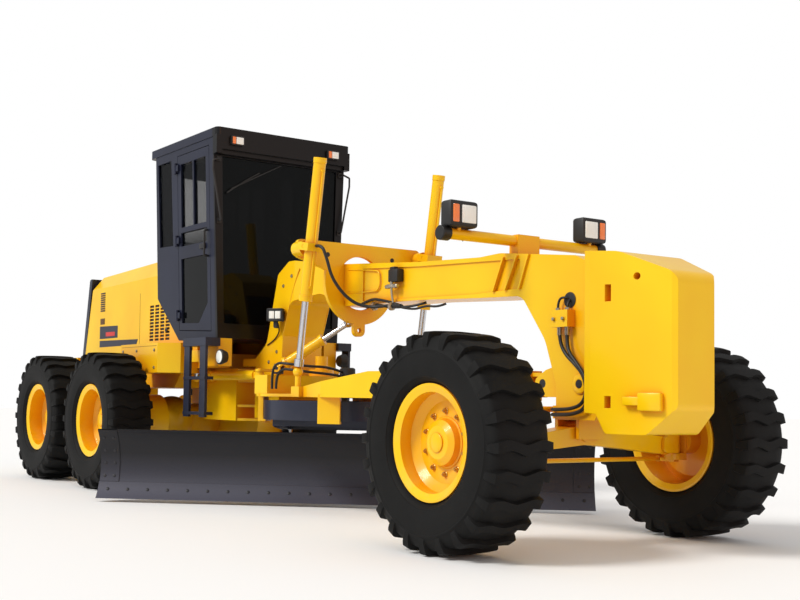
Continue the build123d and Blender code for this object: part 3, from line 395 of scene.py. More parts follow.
def skin(bm, rows, pairs):
    # faces between neighbouring rows of points, and one over each end row
    for a, b in zip(rows, rows[1:]):
        for j, k in pairs:
            bm.faces.new((a[j], a[k], b[k], b[j]))
    bm.faces.new(rows[0])
    bm.faces.new(rows[-1][::-1])


def spun(bm, profile, centre, axis, steps):
    # profile turned about an axis through the centre
    along = Vector(axis).normalized()
    across = along.orthogonal().normalized()
    third = along.cross(across)
    rings = []
    for distance, radius in profile:
        ring = []
        for i in range(steps):
            turn = 2 * math.pi * i / steps
            ring.append(bm.verts.new(Vector(centre) + along * distance
                                     + (across * math.cos(turn) + third * math.sin(turn)) * radius))
        rings.append(ring)
    for a, b in zip(rings, rings[1:]):
        for i in range(steps):
            j = (i + 1) % steps
            bm.faces.new((a[i], a[j], b[j], b[i]))
    return rings


def closedSpun(bm, part, centre, axis):
    # part is (profile, steps round)
    rings = spun(bm, part[0], centre, axis, part[1])
    bm.faces.new(rings[0][::-1])
    bm.faces.new(rings[-1])


def spunPiece(name, parts, place, axis, material, body):
    bm = bmesh.new()
    for part in parts:
        closedSpun(bm, part, place, axis)
    makePiece(name, bm, material, body)


def bolt(bm, place, out, size):
    # hexagon head on a washer
    closedSpun(bm, ([(-0.001, size * 1.5), (0.003, size * 1.5)], 16), place, out)
    closedSpun(bm, ([(0.002, size), (size * 0.8, size), (size * 0.95, size * 0.8)], 6), place, out)


def makeHose(name, points, radius, body, material=hoseRubber):
    # smooth round line through the air, held at both ends
    curve = bpy.data.curves.new(name, "CURVE")
    curve.dimensions = "3D"
    curve.bevel_depth = radius
    curve.bevel_resolution = 3
    curve.use_fill_caps = True
    line = curve.splines.new("NURBS")
    line.points.add(len(points) - 1)
    for point, place in zip(line.points, points):
        point.co = (*place, 1)
    line.order_u = 3
    line.use_endpoint_u = True
    line.resolution_u = 8
    curve.materials.append(material)
    piece = bpy.data.objects.new(name, curve)
    sceneObjects.link(piece)
    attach(piece, body)
    return piece


def moved(start, points):
    return [tuple(a + b for a, b in zip(start, point)) for point in points]


# tyres

tyre = {
    "lugs": 24, "steps": 120, "wave": 0.02, "lugHalf": 0.03, "lugDeep": 0.036, "draft": 0.006,
    "wallFrom": 0.2, "tuck": 0.012,
    # across, radius: half of the carcass from bead to middle
    "carcass": [
        (0.15, 0.326), (0.1615, 0.34), (0.1625, 0.364), (0.181, 0.372), (0.2, 0.39), (0.2045, 0.396),
        (0.2075, 0.3965), (0.2165, 0.44), (0.2205, 0.48), (0.2212, 0.52), (0.22, 0.548), (0.2222, 0.55),
        (0.2222, 0.558), (0.219, 0.561), (0.21, 0.595), (0.196, 0.626), (0.17, 0.64), (0.1, 0.647),
        (0.0, 0.649)],
    # across, radius, wave height as a share, half width as a share
    "lug": [
        (0.0, 0.6738, -1.0, 1.06), (0.03, 0.6736, -0.62, 1.0), (0.07, 0.673, 0.0, 0.96),
        (0.108, 0.6722, 0.52, 0.96), (0.14, 0.6712, 0.5, 1.0), (0.17, 0.6696, 0.12, 1.04),
        (0.193, 0.6676, -0.16, 1.04), (0.206, 0.661, -0.22, 1.0), (0.214, 0.64, -0.26, 0.94),
        (0.219, 0.612, -0.3, 0.84), (0.2215, 0.584, -0.34, 0.66)]}


def mirrored(half):
    # stations from the middle outwards, as a full row from one side to the other
    return [(-across, *rest) for across, *rest in reversed(half[1:])] + list(half)


def addLug(bm, centre, start):
    # bar across the tread along a wave, with its open foot inside the carcass
    rows = []
    for across, radius, wave, wide in mirrored(tyre["lug"]):
        middle = start + wave * tyre["wave"] / radius
        reach = tyre["lugHalf"] * wide
        inner = radius - tyre["lugDeep"]
        # on the sidewall the foot lies inwards as well as down
        tuck = tyre["tuck"] if abs(across) > tyre["wallFrom"] else 0.0
        row = []
        for side, depth, grow, shift in ((-1, radius, 0, 0.0), (1, radius, 0, 0.0),
                                         (1, inner, tyre["draft"], tuck), (-1, inner, tyre["draft"], tuck)):
            turn = middle + side * (reach + grow) / radius
            y = across - math.copysign(shift, across)
            row.append(bm.verts.new(centre + Vector((math.cos(turn) * depth, y, math.sin(turn) * depth))))
        rows.append(row)
    skin(bm, rows, ((0, 1), (1, 2), (3, 0)))


def makeTyre(wheel):
    low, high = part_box("tyre_" + wheel)
    centre = (low + high) / 2
    bm = bmesh.new()
    spun(bm, mirrored(tyre["carcass"][::-1]), centre, (0, 1, 0), tyre["steps"])
    for i in range(tyre["lugs"]):
        addLug(bm, centre, 2 * math.pi * i / tyre["lugs"])
    piece = makePiece("treadTyre_" + wheel, bm, tyreRubber, "wheel_" + wheel)
    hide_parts("tyre_" + wheel)


wheelNames = [place + "_" + side for place in ("rear", "middle", "front") for side in ("right", "left")]
for wheel in wheelNames:
    makeTyre(wheel)
print("tyres made")

# nuts on the disc of each rim, whose face is given from the tyre's middle
nut = {
    "count": 10, "ring": 0.192, "rearFace": -0.016, "frontFace": 0.044,
    "washer": ([(-0.001, 0.019), (0.004, 0.019), (0.007, 0.0155)], 16),
    "hexagon": ([(0.006, 0.0155), (0.016, 0.0155), (0.019, 0.015)], 6),
    "stud": ([(0.01, 0.0075), (0.026, 0.0075), (0.029, 0.006)], 10)}
# step round the hub's foot and a low centre on its cap
hub = {
    "step": ([(-0.001, 0.158), (0.005, 0.158), (0.009, 0.152)], 48),
    "cap": ([(0.07, 0.06), (0.079, 0.06), (0.083, 0.054), (0.086, 0.012)], 32)}


def makeRimFittings(wheel):
    low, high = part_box("tyre_" + wheel)
    centre = (low + high) / 2
    side = 1 if centre.y > 0 else -1
    face = centre.y + side * nut["frontFace" if "front" in wheel else "rearFace"]
    out = (0, side, 0)
    bm = bmesh.new()
    for i in range(nut["count"]):
        turn = 2 * math.pi * (i + 0.5) / nut["count"]
        foot = (centre.x + math.cos(turn) * nut["ring"], face, centre.z + math.sin(turn) * nut["ring"])
        for part in ("washer", "hexagon", "stud"):
            closedSpun(bm, nut[part], foot, out)
    makePiece("wheelNuts_" + wheel, bm, brassyZinc, "wheel_" + wheel)
    spunPiece("hubStep_" + wheel, hub.values(), (centre.x, face, centre.z), out, yellowPaint,
              "wheel_" + wheel)


for wheel in wheelNames:
    makeRimFittings(wheel)
print("rims finished")

# front lamps, from the bar's front and top: a housing over each lamp box, a clear lens, an amber one
# outside it, and a wire; and rubber ends on the bar
lamp = {
    "housing": ((-0.102, 0.488, -0.167), (0.012, 0.732, 0.012), 0.022),
    "clear": ((0, 0.51, -0.139), (0.018, 0.6352, -0.016), 0.009),
    "amber": ((0, 0.6552, -0.139), (0.018, 0.71, -0.016), 0.009),
    "near": 0.5, "far": 0.72, "wireThick": 0.005,
    "wire": ((-0.07, -0.02, -0.155), (-0.11, -0.01, -0.205), (-0.08, -0.05, -0.245)),
    "barIn": 0.044, "barHeight": 2.043,
    "barEnd": ([(-0.06, 0.046), (-0.054, 0.05), (0.012, 0.05), (0.018, 0.044)], 32)}


def makeFrontLamps():
    low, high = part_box("lamp_bar")
    for side, word in sides:
        start = (high.x, 0, high.z)
        boxPiece("lampHousing_" + word, [lamp["housing"]], trimPlastic, "front_frame", start, side)
        boxPiece("clearLamp_" + word, [lamp["clear"]], clearLens, "front_frame", start, side)
        boxPiece("amberLamp_" + word, [lamp["amber"]], amberLens, "front_frame", start, side)
        leftEdge = max(side * lamp["near"], side * lamp["far"])
        makeHose("lampWire_" + word, moved((high.x, leftEdge, high.z), lamp["wire"]), lamp["wireThick"],
                 "front_frame")
        place = (low.x + lamp["barIn"], side * high.y, lamp["barHeight"])
        spunPiece("barEnd_" + word, [lamp["barEnd"]], place, (0, side, 0), hoseRubber, "front_frame")


makeFrontLamps()
print("front lamps made")

# roof lamps: an amber lens and a clear one in the face of each lamp box on the roof's front
roofLamp = {
    "y": 0.5225, "boxDeep": 0.03, "amber": ((-0.004, -0.0555, -0.145), (0.004, -0.0225, -0.082), 0.003),
    "clear": ((-0.004, -0.0185, -0.145), (0.004, 0.0555, -0.082), 0.003)}


def makeRoofLamps():
    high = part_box("cab_roof")[1]
    for side, word in sides:
        start = (high.x + roofLamp["boxDeep"], side * roofLamp["y"], high.z)
        boxPiece("roofLampAmber_" + word, [roofLamp["amber"]], amberLens, "rear_frame", start)
        boxPiece("roofLampClear_" + word, [roofLamp["clear"]], clearLens, "rear_frame", start)


makeRoofLamps()

# doors: a pull handle and a latch at the front edge, a pocket in the pane's lower corner; heights are
# over the cab's foot
cab = {"halfTop": 0.72, "halfBottom": 0.65}
door = {
    "handleFoot": 0.76, "handleTop": 1.0, "handleIn": 0.035, "handleOut": 0.045, "handleCorner": 0.03,
    "handleThick": 0.01, "sunk": 0.004, "latchWall": 0.9,
    "latch": ((-0.15, -0.012, 0.835), (-0.045, 0.02, 0.885), 0.008),
    "pocketWall": 0.2, "pocketIn": 0.034, "pocketThick": 0.014,
    "pocket": ((-0.2, 0.165), (-0.125, 0.16), (-0.062, 0.235), (-0.062, 0.33), (-0.09, 0.33))}
wiper = {
    "proud": 0.004, "down": 0.185, "armThick": 0.007, "bladeThick": 0.008,
    "arm": ((-0.012, 0, 0), (0.004, -0.1, -0.05), (0.01, -0.54, -0.28)),
    "blade": ((0, -0.24, -0.1), (0.004, -0.4, -0.19), (0.006, -0.58, -0.32))}
# posts of the rear window, seen through the windshield
post = {
    "places": (-0.02, 0.17, 0.33), "half": 0.016, "behind": 0.06, "ahead": 0.085, "foot": 0.9, "down": 0.18,
    "round": 0.004}


def sideOfCab(z):
    # half width of the cab at a height
    low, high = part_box("cab_frame")
    return cab["halfBottom"] + (cab["halfTop"] - cab["halfBottom"]) * (z - low.z) / (high.z - low.z)


def makeDoorTrim(side, word):
    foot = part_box("cab_frame")[0].z
    body = "door_" + word
    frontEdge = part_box(body)[1].x
    x = frontEdge - door["handleIn"]
    z0, z1 = foot + door["handleFoot"], foot + door["handleTop"]
    out = side * (sideOfCab(z0) + door["handleOut"])
    makeHose("doorHandle_" + word, [(x, side * (sideOfCab(z0) - door["sunk"]), z0), (x, out, z0),
                                    (x, out, z0 + door["handleCorner"]), (x, out, z1 - door["handleCorner"]),
                                    (x, out, z1), (x, side * (sideOfCab(z1) - door["sunk"]), z1)],
             door["handleThick"], body)
    boxPiece("doorLatch_" + word, [door["latch"]], trimPlastic, body,
             (x, side * sideOfCab(foot + door["latchWall"]), foot), side)
    bm = bmesh.new()
    sidePlate(bm, [(frontEdge + ahead, foot + rise) for ahead, rise in door["pocket"]],
              side * (sideOfCab(foot + door["pocketWall"]) - door["pocketIn"]), side, door["pocketThick"])
    makePiece("doorPocket_" + word, bm, trimPlastic, body)


def makeCabTrim():
    low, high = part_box("cab_frame")
    for side, word in sides:
        makeDoorTrim(side, word)
    start = (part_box("cab_glass")[1].x + wiper["proud"], 0, high.z - wiper["down"])
    makeHose("wiperArm", moved(start, wiper["arm"]), wiper["armThick"], "rear_frame")
    makeHose("wiperBlade", moved(start, wiper["blade"]), wiper["bladeThick"], "rear_frame")
    half = post["half"]
    foot, top = low.z + post["foot"], high.z - post["down"]
    posts = [((post["behind"], y - half, foot), (post["ahead"], y + half, top), post["round"])
             for y in post["places"]]
    boxPiece("rearPosts", posts, navyPaint, "rear_frame", (low.x, 0, 0))


makeCabTrim()
print("cab trim made")

# driver's place, ahead of the interior's rear: upholstery over the plain seat, levers and their box
seat = {
    "pads": 4, "first": -0.225, "pitch": 0.115,
    "pad": (((0.13, 0, 2.0), (0.545, 0.105, 2.045), 0.018),
            ((0.105, 0, 2.08), (0.155, 0.105, 2.585), 0.018))}
lever = {
    "count": 6, "first": 0.14, "pitch": 0.045, "ahead": 0.7, "foot": 2.06, "lean": (0.22, 0, 1),
    "stick": ([(0, 0.006), (0.16, 0.005), (0.165, 0.014), (0.19, 0.014), (0.195, 0.008)], 10),
    "box": ((0.64, -0.4, 1.98), (0.76, 0.4, 2.07), 0.02)}


def makeDriverPlace():
    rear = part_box("cab_interior")[0].x
    bm = bmesh.new()
    for i in range(seat["pads"]):
        addBoxes(bm, seat["pad"], (rear, seat["first"] + i * seat["pitch"], 0))
    makePiece("seatCovers", bm, seatCloth, "rear_frame")
    bm = bmesh.new()
    for i in range(lever["count"]):
        for side in (-1, 1):
            place = (rear + lever["ahead"], side * (lever["first"] + lever["pitch"] * i), lever["foot"])
            closedSpun(bm, lever["stick"], place, lever["lean"])
    makePiece("controlLevers", bm, trimPlastic, "rear_frame")
    boxPiece("leverBox", [lever["box"]], trimPlastic, "rear_frame", (rear, 0, 0))


makeDriverPlace()
print("driver's place made")

# hood: dark plates just inside the intake holes, painted shade in them; louvred vents, catch, panel joint and
# plain stripes
hood = {
    "columns": 4, "rows": 11, "holeShadeX": -2.275, "holeShadeZ": 1.51, "pitchX": 0.13, "pitchZ": 0.035,
    "mesh": ((-0.0505, -0.02, -0.0125), (0.0505, -0.01, 0.0125), 0.0004),
    "vents": ((1.875, 2.1), (1.73, 1.8)), "ventX": (-3.69, -3.56), "slats": 9, "slatShare": 0.32,
    "slatSunk": 0.01, "slatProud": 0.004, "slatRound": 0.002,
    "catchX": -1.905, "catchZ": 1.6, "catch": ([(-0.004, 0.026), (0.006, 0.026), (0.01, 0.021)], 24),
    "jointX": (-2.584, -2.578), "jointRise": 0.04, "jointTop": 2.02, "jointSunk": 0.004,
    "jointProud": 0.0012, "jointRound": 0.0005, "stripeThick": 0.001, "dashThick": 0.002,
    "stripes": (((-3.7, 1.47), (-2.66, 1.47), (-2.62, 1.53), (-3.7, 1.545)),
                ((-3.7, 1.565), (-3.18, 1.565), (-3.18, 1.7), (-3.7, 1.71))),
    "dash": ((-3.52, 1.59), (-3.26, 1.59), (-3.26, 1.635), (-3.52, 1.638))}


def makeHoodSide(side, word):
    low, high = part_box("hood")
    wall = side * high.y
    bm = bmesh.new()
    # dark plates behind the intake holes: painted shade
    for column in range(hood["columns"]):
        for row in range(hood["rows"]):
            x = hood["holeShadeX"] + column * hood["pitchX"]
            z = hood["holeShadeZ"] + row * hood["pitchZ"]
            addBoxes(bm, [hood["mesh"]], (x, wall, z), side)
    makePiece("intakeShade_" + word, bm, trimPlastic, "rear_frame")
    slats = []
    for foot, top in hood["vents"]:
        step = (top - foot) / hood["slats"]
        reach = step * hood["slatShare"]
        for i in range(hood["slats"]):
            z = foot + (i + 0.5) * step
            slats.append(((hood["ventX"][0], -hood["slatSunk"], z - reach),
                          (hood["ventX"][1], hood["slatProud"], z + reach), hood["slatRound"]))
    boxPiece("ventSlats_" + word, slats, trimPlastic, "rear_frame", (0, wall, 0), side)
    place = (hood["catchX"], wall, hood["catchZ"])
    spunPiece("hoodCatch_" + word, [hood["catch"]], place, (0, side, 0), trimPlastic, "rear_frame")
    joint = ((hood["jointX"][0], -hood["jointSunk"], low.z + hood["jointRise"]),
             (hood["jointX"][1], hood["jointProud"], hood["jointTop"]), hood["jointRound"])
    boxPiece("hoodJoint_" + word, [joint], seamShade, "rear_frame", (0, wall, 0), side)
    bm = bmesh.new()
    for stripe in hood["stripes"]:
        sidePlate(bm, stripe, wall, side, hood["stripeThick"])
    makePiece("hoodStripe_" + word, bm, navyPaint, "rear_frame", smooth=False)
    bm = bmesh.new()
    sidePlate(bm, hood["dash"], wall, side, hood["dashThick"])
    makePiece("hoodDash_" + word, bm, redPaint, "rear_frame", smooth=False)


for side, word in sides:
    makeHoodSide(side, word)
print("hood finished")

# side boxes (lockers): lid joints, bolts and a round lamp by the steps
locker = {
    "lidFrom": 0.02, "lidTo": 0.19, "lidDown": 0.03, "lidTop": 0.026, "lidSunk": 0.01, "lidProud": 0.001,
    "lidRound": 0.0005, "boltBack": (0.06, 0.4), "boltFront": 0.24, "boltRise": 0.05, "boltDown": 0.07,
    "boltSize": 0.011, "lampX": -0.3, "lampY": 0.655, "lampZ": 1.285,
    "shell": ([(-0.045, 0.05), (0.0, 0.068), (0.02, 0.07), (0.026, 0.064)], 32),
    "lens": ([(0.02, 0.06), (0.028, 0.056), (0.036, 0.036), (0.038, 0.01)], 32)}


def makeSideBoxes():
    low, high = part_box("side_tanks")
    for side, word in sides:
        wall, out = side * high.y, (0, side, 0)
        lid = ((low.x + locker["lidFrom"], -locker["lidSunk"], -locker["lidDown"]),
               (high.x - locker["lidTo"], locker["lidProud"], -locker["lidTop"]), locker["lidRound"])
        boxPiece("boxJoint_" + word, [lid], seamShade, "rear_frame", (0, wall, high.z), side)
        bm = bmesh.new()
        for x in [low.x + back for back in locker["boltBack"]] + [high.x - locker["boltFront"]]:
            for z in (low.z + locker["boltRise"], high.z - locker["boltDown"]):
                bolt(bm, (x, wall, z), out, locker["boltSize"])
        makePiece("boxBolts_" + word, bm, bareSteel, "rear_frame")
        place = (locker["lampX"], side * locker["lampY"], locker["lampZ"])
        spunPiece("markerShell_" + word, [locker["shell"]], place, out, trimPlastic, "rear_frame")
        spunPiece("markerLens_" + word, [locker["lens"]], place, out, clearLens, "rear_frame")


makeSideBoxes()
print("side boxes finished")

# blade: edge bolts, bolted plates at both ends and a rolled upper edge
# places are (along the blade, ahead of its edge line, height), curve is the radius of its hollow face
blade = {
    "centre": (0.76, 0.0), "turn": 50, "from": -2.186, "to": 2.084, "curve": 0.43, "middle": 0.33,
    "half": 0.3, "edgeThick": 0.016, "bolts": 24, "boltRise": 0.108,
    "boltHead": ([(-0.002, 0.015), (0.003, 0.015), (0.006, 0.009)], 16),
    "endWide": 0.17, "endThick": 0.007, "endFoot": 0.172, "endTop": 0.622, "endSteps": 16,
    "endBolts": (0.22, 0.33, 0.44, 0.55), "endShares": (0.25, 0.75),
    "endHead": ([(-0.002, 0.013), (0.003, 0.013), (0.005, 0.008)], 16), "roll": 0.01, "rollShort": 0.002}


def onBlade(along, ahead, height):
    turn = math.radians(blade["turn"])
    return Vector((blade["centre"][0] + along * math.cos(turn) + ahead * math.sin(turn),
                   blade["centre"][1] + along * math.sin(turn) - ahead * math.cos(turn), height))


def acrossBlade(along, ahead, height):
    return onBlade(along, ahead, height) - onBlade(0, 0, 0)


def bladeFace(height, proud):
    # how far ahead the hollow face lies at a height, and the direction it looks in
    reach = math.sqrt(blade["curve"] ** 2 - blade["half"] ** 2)
    radius = blade["curve"] - proud
    run = math.sqrt(radius ** 2 - (height - blade["middle"]) ** 2)
    return reach - run, run / radius, (blade["middle"] - height) / radius


def makeEndPlate(word, start):
    bm = bmesh.new()
    rows = []
    for i in range(blade["endSteps"] + 1):
        height = blade["endFoot"] + (blade["endTop"] - blade["endFoot"]) * i / blade["endSteps"]
        row = []
        for proud, shares in ((0.0, (0, 1)), (blade["endThick"], (1, 0))):
            ahead = bladeFace(height, proud)[0]
            for share in shares:
                row.append(bm.verts.new(onBlade(start + share * blade["endWide"], ahead, height)))
        rows.append(row)
    skin(bm, rows, ((0, 1), (1, 2), (2, 3), (3, 0)))
    makePiece("endPlate_" + word, bm, bladeSteel, "blade")
    bm = bmesh.new()
    for height in blade["endBolts"]:
        ahead, level, rise = bladeFace(height, blade["endThick"])
        for share in blade["endShares"]:
            closedSpun(bm, blade["endHead"], onBlade(start + share * blade["endWide"], ahead, height),
                       acrossBlade(0, level, rise))
    makePiece("endBolts_" + word, bm, castIron, "blade")


def makeBladeFittings():
    bm = bmesh.new()
    step = (blade["to"] - blade["from"]) / blade["bolts"]
    ahead, level, rise = bladeFace(blade["boltRise"], blade["edgeThick"])
    for i in range(blade["bolts"]):
        closedSpun(bm, blade["boltHead"], onBlade(blade["from"] + (i + 0.5) * step, ahead, blade["boltRise"]),
                   acrossBlade(0, level, rise))
    makePiece("edgeBolts", bm, castIron, "blade")
    makeEndPlate("right", blade["from"])
    makeEndPlate("left", blade["to"] - blade["endWide"])
    top = blade["middle"] + blade["half"] - blade["roll"]
    length = blade["to"] - blade["from"] - 2 * blade["rollShort"]
    roll = ([(0, blade["roll"]), (length, blade["roll"])], 12)
    place = onBlade(blade["from"] + blade["rollShort"], bladeFace(top, 0)[0] - blade["roll"], top)
    spunPiece("bladeTopRoll", [roll], place, acrossBlade(1, 0, 0), bladeSteel, "blade")


makeBladeFittings()
print("blade finished")

# neck: slanted ribs and raised frames on both sides
neck = {
    "half": 0.16, "sunk": 0.012, "ribs": ((2.811, 2.918), (2.937, 3.056), (3.079, 3.171)), "ribFoot": 1.693,
    "ribTop": 1.925, "ribThick": 0.016, "ribThrough": 0.03, "frameOut": 0.001, "frameThick": 0.006,
    "frame": ((0.99, 2.0), (1.385, 1.965), (1.43, 1.945), (1.44, 1.9), (1.44, 1.835), (1.41, 1.8),
              (1.36, 1.795), (1.04, 1.8), (0.99, 1.815))}
# nose, right side: a socket, two held hoses with ferrules, the valve block's unions and pipes, a pivot boss
# places here and in the next lists are (along, out from the neck's right side, height)
nose = {
    "socket": ([(-0.004, 0.052), (0.004, 0.052), (0.006, 0.046)], 32), "socketAt": (3.564, 0, 1.589),
    "hoseA": (
        (3.505, 0.035, 1.41), (3.505, 0.035, 1.33), (3.555, 0.035, 1.24), (3.65, 0.035, 1.17),
        (3.722, 0.035, 1.1), (3.75, 0.035, 1.0), (3.71, 0.035, 0.915), (3.61, 0.035, 0.886),
        (3.5, 0.035, 0.88), (3.423, 0.035, 0.88), (3.423, -0.01, 0.88)),
    "hoseB": (
        (3.573, 0.035, 1.41), (3.573, 0.035, 1.33), (3.6, 0.047, 1.25), (3.67, 0.047, 1.18),
        (3.742, 0.047, 1.1), (3.777, 0.047, 1.0), (3.745, 0.041, 0.89), (3.63, 0.035, 0.85),
        (3.5, 0.035, 0.846), (3.423, 0.035, 0.846), (3.423, -0.01, 0.846)),
    "hoseThick": 0.012, "hoseOut": 0.035, "ferruleFrom": (0.094, 0.162), "ferruleRise": 0.004,
    "ferrule": ([(-0.012, 0.017), (0.0, 0.017), (0.004, 0.015), (0.052, 0.015), (0.056, 0.0125)], 20),
    "unionX": (3.49, 3.575), "topUnion": (0.035, 1.523), "faceUnion": (0.07, 1.465),
    "topPart": ([(-0.002, 0.015), (0.016, 0.015), (0.018, 0.012)], 6),
    "facePart": ([(-0.002, 0.012), (0.014, 0.012), (0.017, 0.008)], 6),
    "pipeA": ((3.49, 0.035, 1.53), (3.49, 0.035, 1.6), (3.545, 0.015, 1.61), (3.56, -0.002, 1.6)),
    "pipeB": ((3.575, 0.035, 1.53), (3.578, 0.035, 1.58), (3.572, -0.002, 1.59)), "pipeThick": 0.008,
    "boss": ([(-0.002, 0.062), (0.012, 0.062), (0.016, 0.056), (0.016, 0.03), (0.004, 0.028)], 40),
    "bossPin": ([(0.0, 0.026), (0.0165, 0.026), (0.0175, 0.02)], 28), "bossAt": (3.661, 0, 1.045)}
# valve further back: its blocks, unions and drop pipe, and the lines that pass it with their clamps
valve = {
    "blocks": (((1.625, 0.055, 1.845), (1.745, -0.012, 1.945), 0.008),
               ((1.64, 0.05, 1.94), (1.7, 0.01, 1.965), 0.006)),
    "unions": ((1.655, (1, 0, 0), ([(-0.07, 0.016), (0.075, 0.016), (0.08, 0.013)], 16)),
               (1.655, (0, 0, 1), ([(-0.002, 0.014), (0.045, 0.014)], 16)),
               (1.69, (1, 0, 0), ([(0, 0.02), (0.03, 0.02)], 6)),
               (1.6, (1, 0, 0), ([(0, 0.018), (0.026, 0.018)], 6))), "unionOut": 0.04, "unionHeight": 1.812,
    "drop": ((1.655, 0.04, 1.8), (1.66, 0.042, 1.74), (1.675, 0.03, 1.66)), "dropThick": 0.009,
    "clampsAt": ((1.655, 0.035, 1.655), (1.42, 0.035, 1.668)),
    "clamp": ([(-0.012, 0.03), (-0.01, 0.033), (0.01, 0.033), (0.012, 0.03)], 20)}
neckLines = {
    "liftHose": (0.013, (
        (1.182, 0.443, 2.143), (1.262, 0.443, 2.143), (1.3, 0.423, 2.05), (1.3, 0.36, 1.86),
        (1.34, 0.2, 1.69), (1.44, 0.07, 1.655), (1.6, 0.04, 1.665), (1.77, 0.03, 1.655))),
    "neckLineA": (0.011, (
        (1.2, 0.005, 1.7), (1.36, 0.02, 1.735), (1.5, 0.03, 1.715), (1.64, 0.035, 1.69),
        (1.78, 0.025, 1.65))),
    "neckLineB": (0.01, (
        (1.3, 0.005, 1.675), (1.45, 0.03, 1.69), (1.6, 0.04, 1.65), (1.78, 0.03, 1.64), (1.93, -0.01, 1.65),
        (1.975, -0.06, 1.672))),
    "neckLineC": (0.009, (
        (1.7, 0.025, 1.655), (1.9, 0.02, 1.61), (2.06, 0.01, 1.64), (2.15, -0.03, 1.625),
        (2.2, -0.07, 1.65)))}
toRight = (0, -1, 0)


def bead(name, line, y, thick):
    # painted bead along a line of (x, z) on an upright wall at y
    makeHose(name, [(x, y, z) for x, z in line], thick, "front_frame", yellowPaint)


def offNeck(x, out, z):
    return (x, -neck["half"] - out, z)


def sideHose(name, points, thick, material=hoseRubber):
    return makeHose(name, [offNeck(*point) for point in points], thick, "front_frame", material)


def makeNeckTrim():
    bm = bmesh.new()
    for side, word in sides:
        for footX, topX in neck["ribs"]:
            outline = ((footX, neck["ribFoot"]), (footX + neck["ribThick"], neck["ribFoot"]),
                       (topX + neck["ribThick"], neck["ribTop"]), (topX, neck["ribTop"]))
            sidePlate(bm, outline, side * (neck["half"] - neck["sunk"]), side, neck["ribThrough"])
    makePiece("neckRibs", bm, yellowPaint, "front_frame", smooth=False)
    for side, word in sides:
        bead("neckFrame_" + word, neck["frame"], side * (neck["half"] + neck["frameOut"]), neck["frameThick"])


def makeNoseTrim():
    place = offNeck(*nose["socketAt"])
    spunPiece("noseSocket", [nose["socket"]], place, toRight, trimPlastic, "front_frame")
    for letter in "AB":
        hose = sideHose("noseHose" + letter, nose["hose" + letter], nose["hoseThick"])
        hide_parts("hoses")
    low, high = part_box("hoses")
    bm = bmesh.new()
    for ahead in nose["ferruleFrom"]:
        closedSpun(bm, nose["ferrule"], offNeck(low.x + ahead, nose["hoseOut"], high.z + nose["ferruleRise"]),
                   (0, 0, -1))
    makePiece("hoseFerrules", bm, bareSteel, "front_frame")
    bm = bmesh.new()
    for x in nose["unionX"]:
        closedSpun(bm, nose["topPart"], offNeck(x, *nose["topUnion"]), (0, 0, 1))
        closedSpun(bm, nose["facePart"], offNeck(x, *nose["faceUnion"]), toRight)
    makePiece("valveUnions", bm, bareSteel, "front_frame")
    for letter in "AB":
        sideHose("valvePipe" + letter, nose["pipe" + letter], nose["pipeThick"])
    place = offNeck(*nose["bossAt"])
    spunPiece("noseBoss", [nose["boss"]], place, toRight, yellowPaint, "front_frame")
    spunPiece("noseBossPin", [nose["bossPin"]], place, toRight, castIron, "front_frame")


def makeNeckValve():
    boxPiece("neckValve", valve["blocks"], trimPlastic, "front_frame", offNeck(0, 0, 0), -1)
    bm = bmesh.new()
    for x, axis, part in valve["unions"]:
        closedSpun(bm, part, offNeck(x, valve["unionOut"], valve["unionHeight"]), axis)
    makePiece("neckUnions", bm, bareSteel, "front_frame")
    sideHose("neckDrop", valve["drop"], valve["dropThick"], bareSteel)
    for name, (thick, points) in neckLines.items():
        sideHose(name, points, thick)
    bm = bmesh.new()
    for place in valve["clampsAt"]:
        closedSpun(bm, valve["clamp"], offNeck(*place), (1, 0, 0))
    makePiece("hoseClamps", bm, bareSteel, "front_frame")


# front weight: a step lug of two blocks on each slanted side, which starts at slantFrom
lug = {
    "x": 4.255, "z": 0.945, "slant": (0.963, 0.269), "slantFrom": 3.905, "slope": 0.2796,
    "blocks": (((-0.125, -0.01, -0.03), (-0.02, 0.045, 0.022), 0.006),
               ((-0.03, -0.01, -0.062), (0.12, 0.045, 0.048), 0.012))}


def makeWeightLugs():
    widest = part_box("front_weight")[1].y
    for side, word in sides:
        y = side * (widest - (lug["x"] - lug["slantFrom"]) * lug["slope"])
        along = (lug["slant"][0], -side * lug["slant"][1], 0)
        turn = aim((lug["x"], y, lug["z"]), along)
        boxPiece("weightLug_" + word, lug["blocks"], yellowPaint, "front_frame",
                 side=side, turn=turn)


makeWeightLugs()
makeNeckTrim()
makeNoseTrim()
makeNeckValve()
print("neck and weight finished")

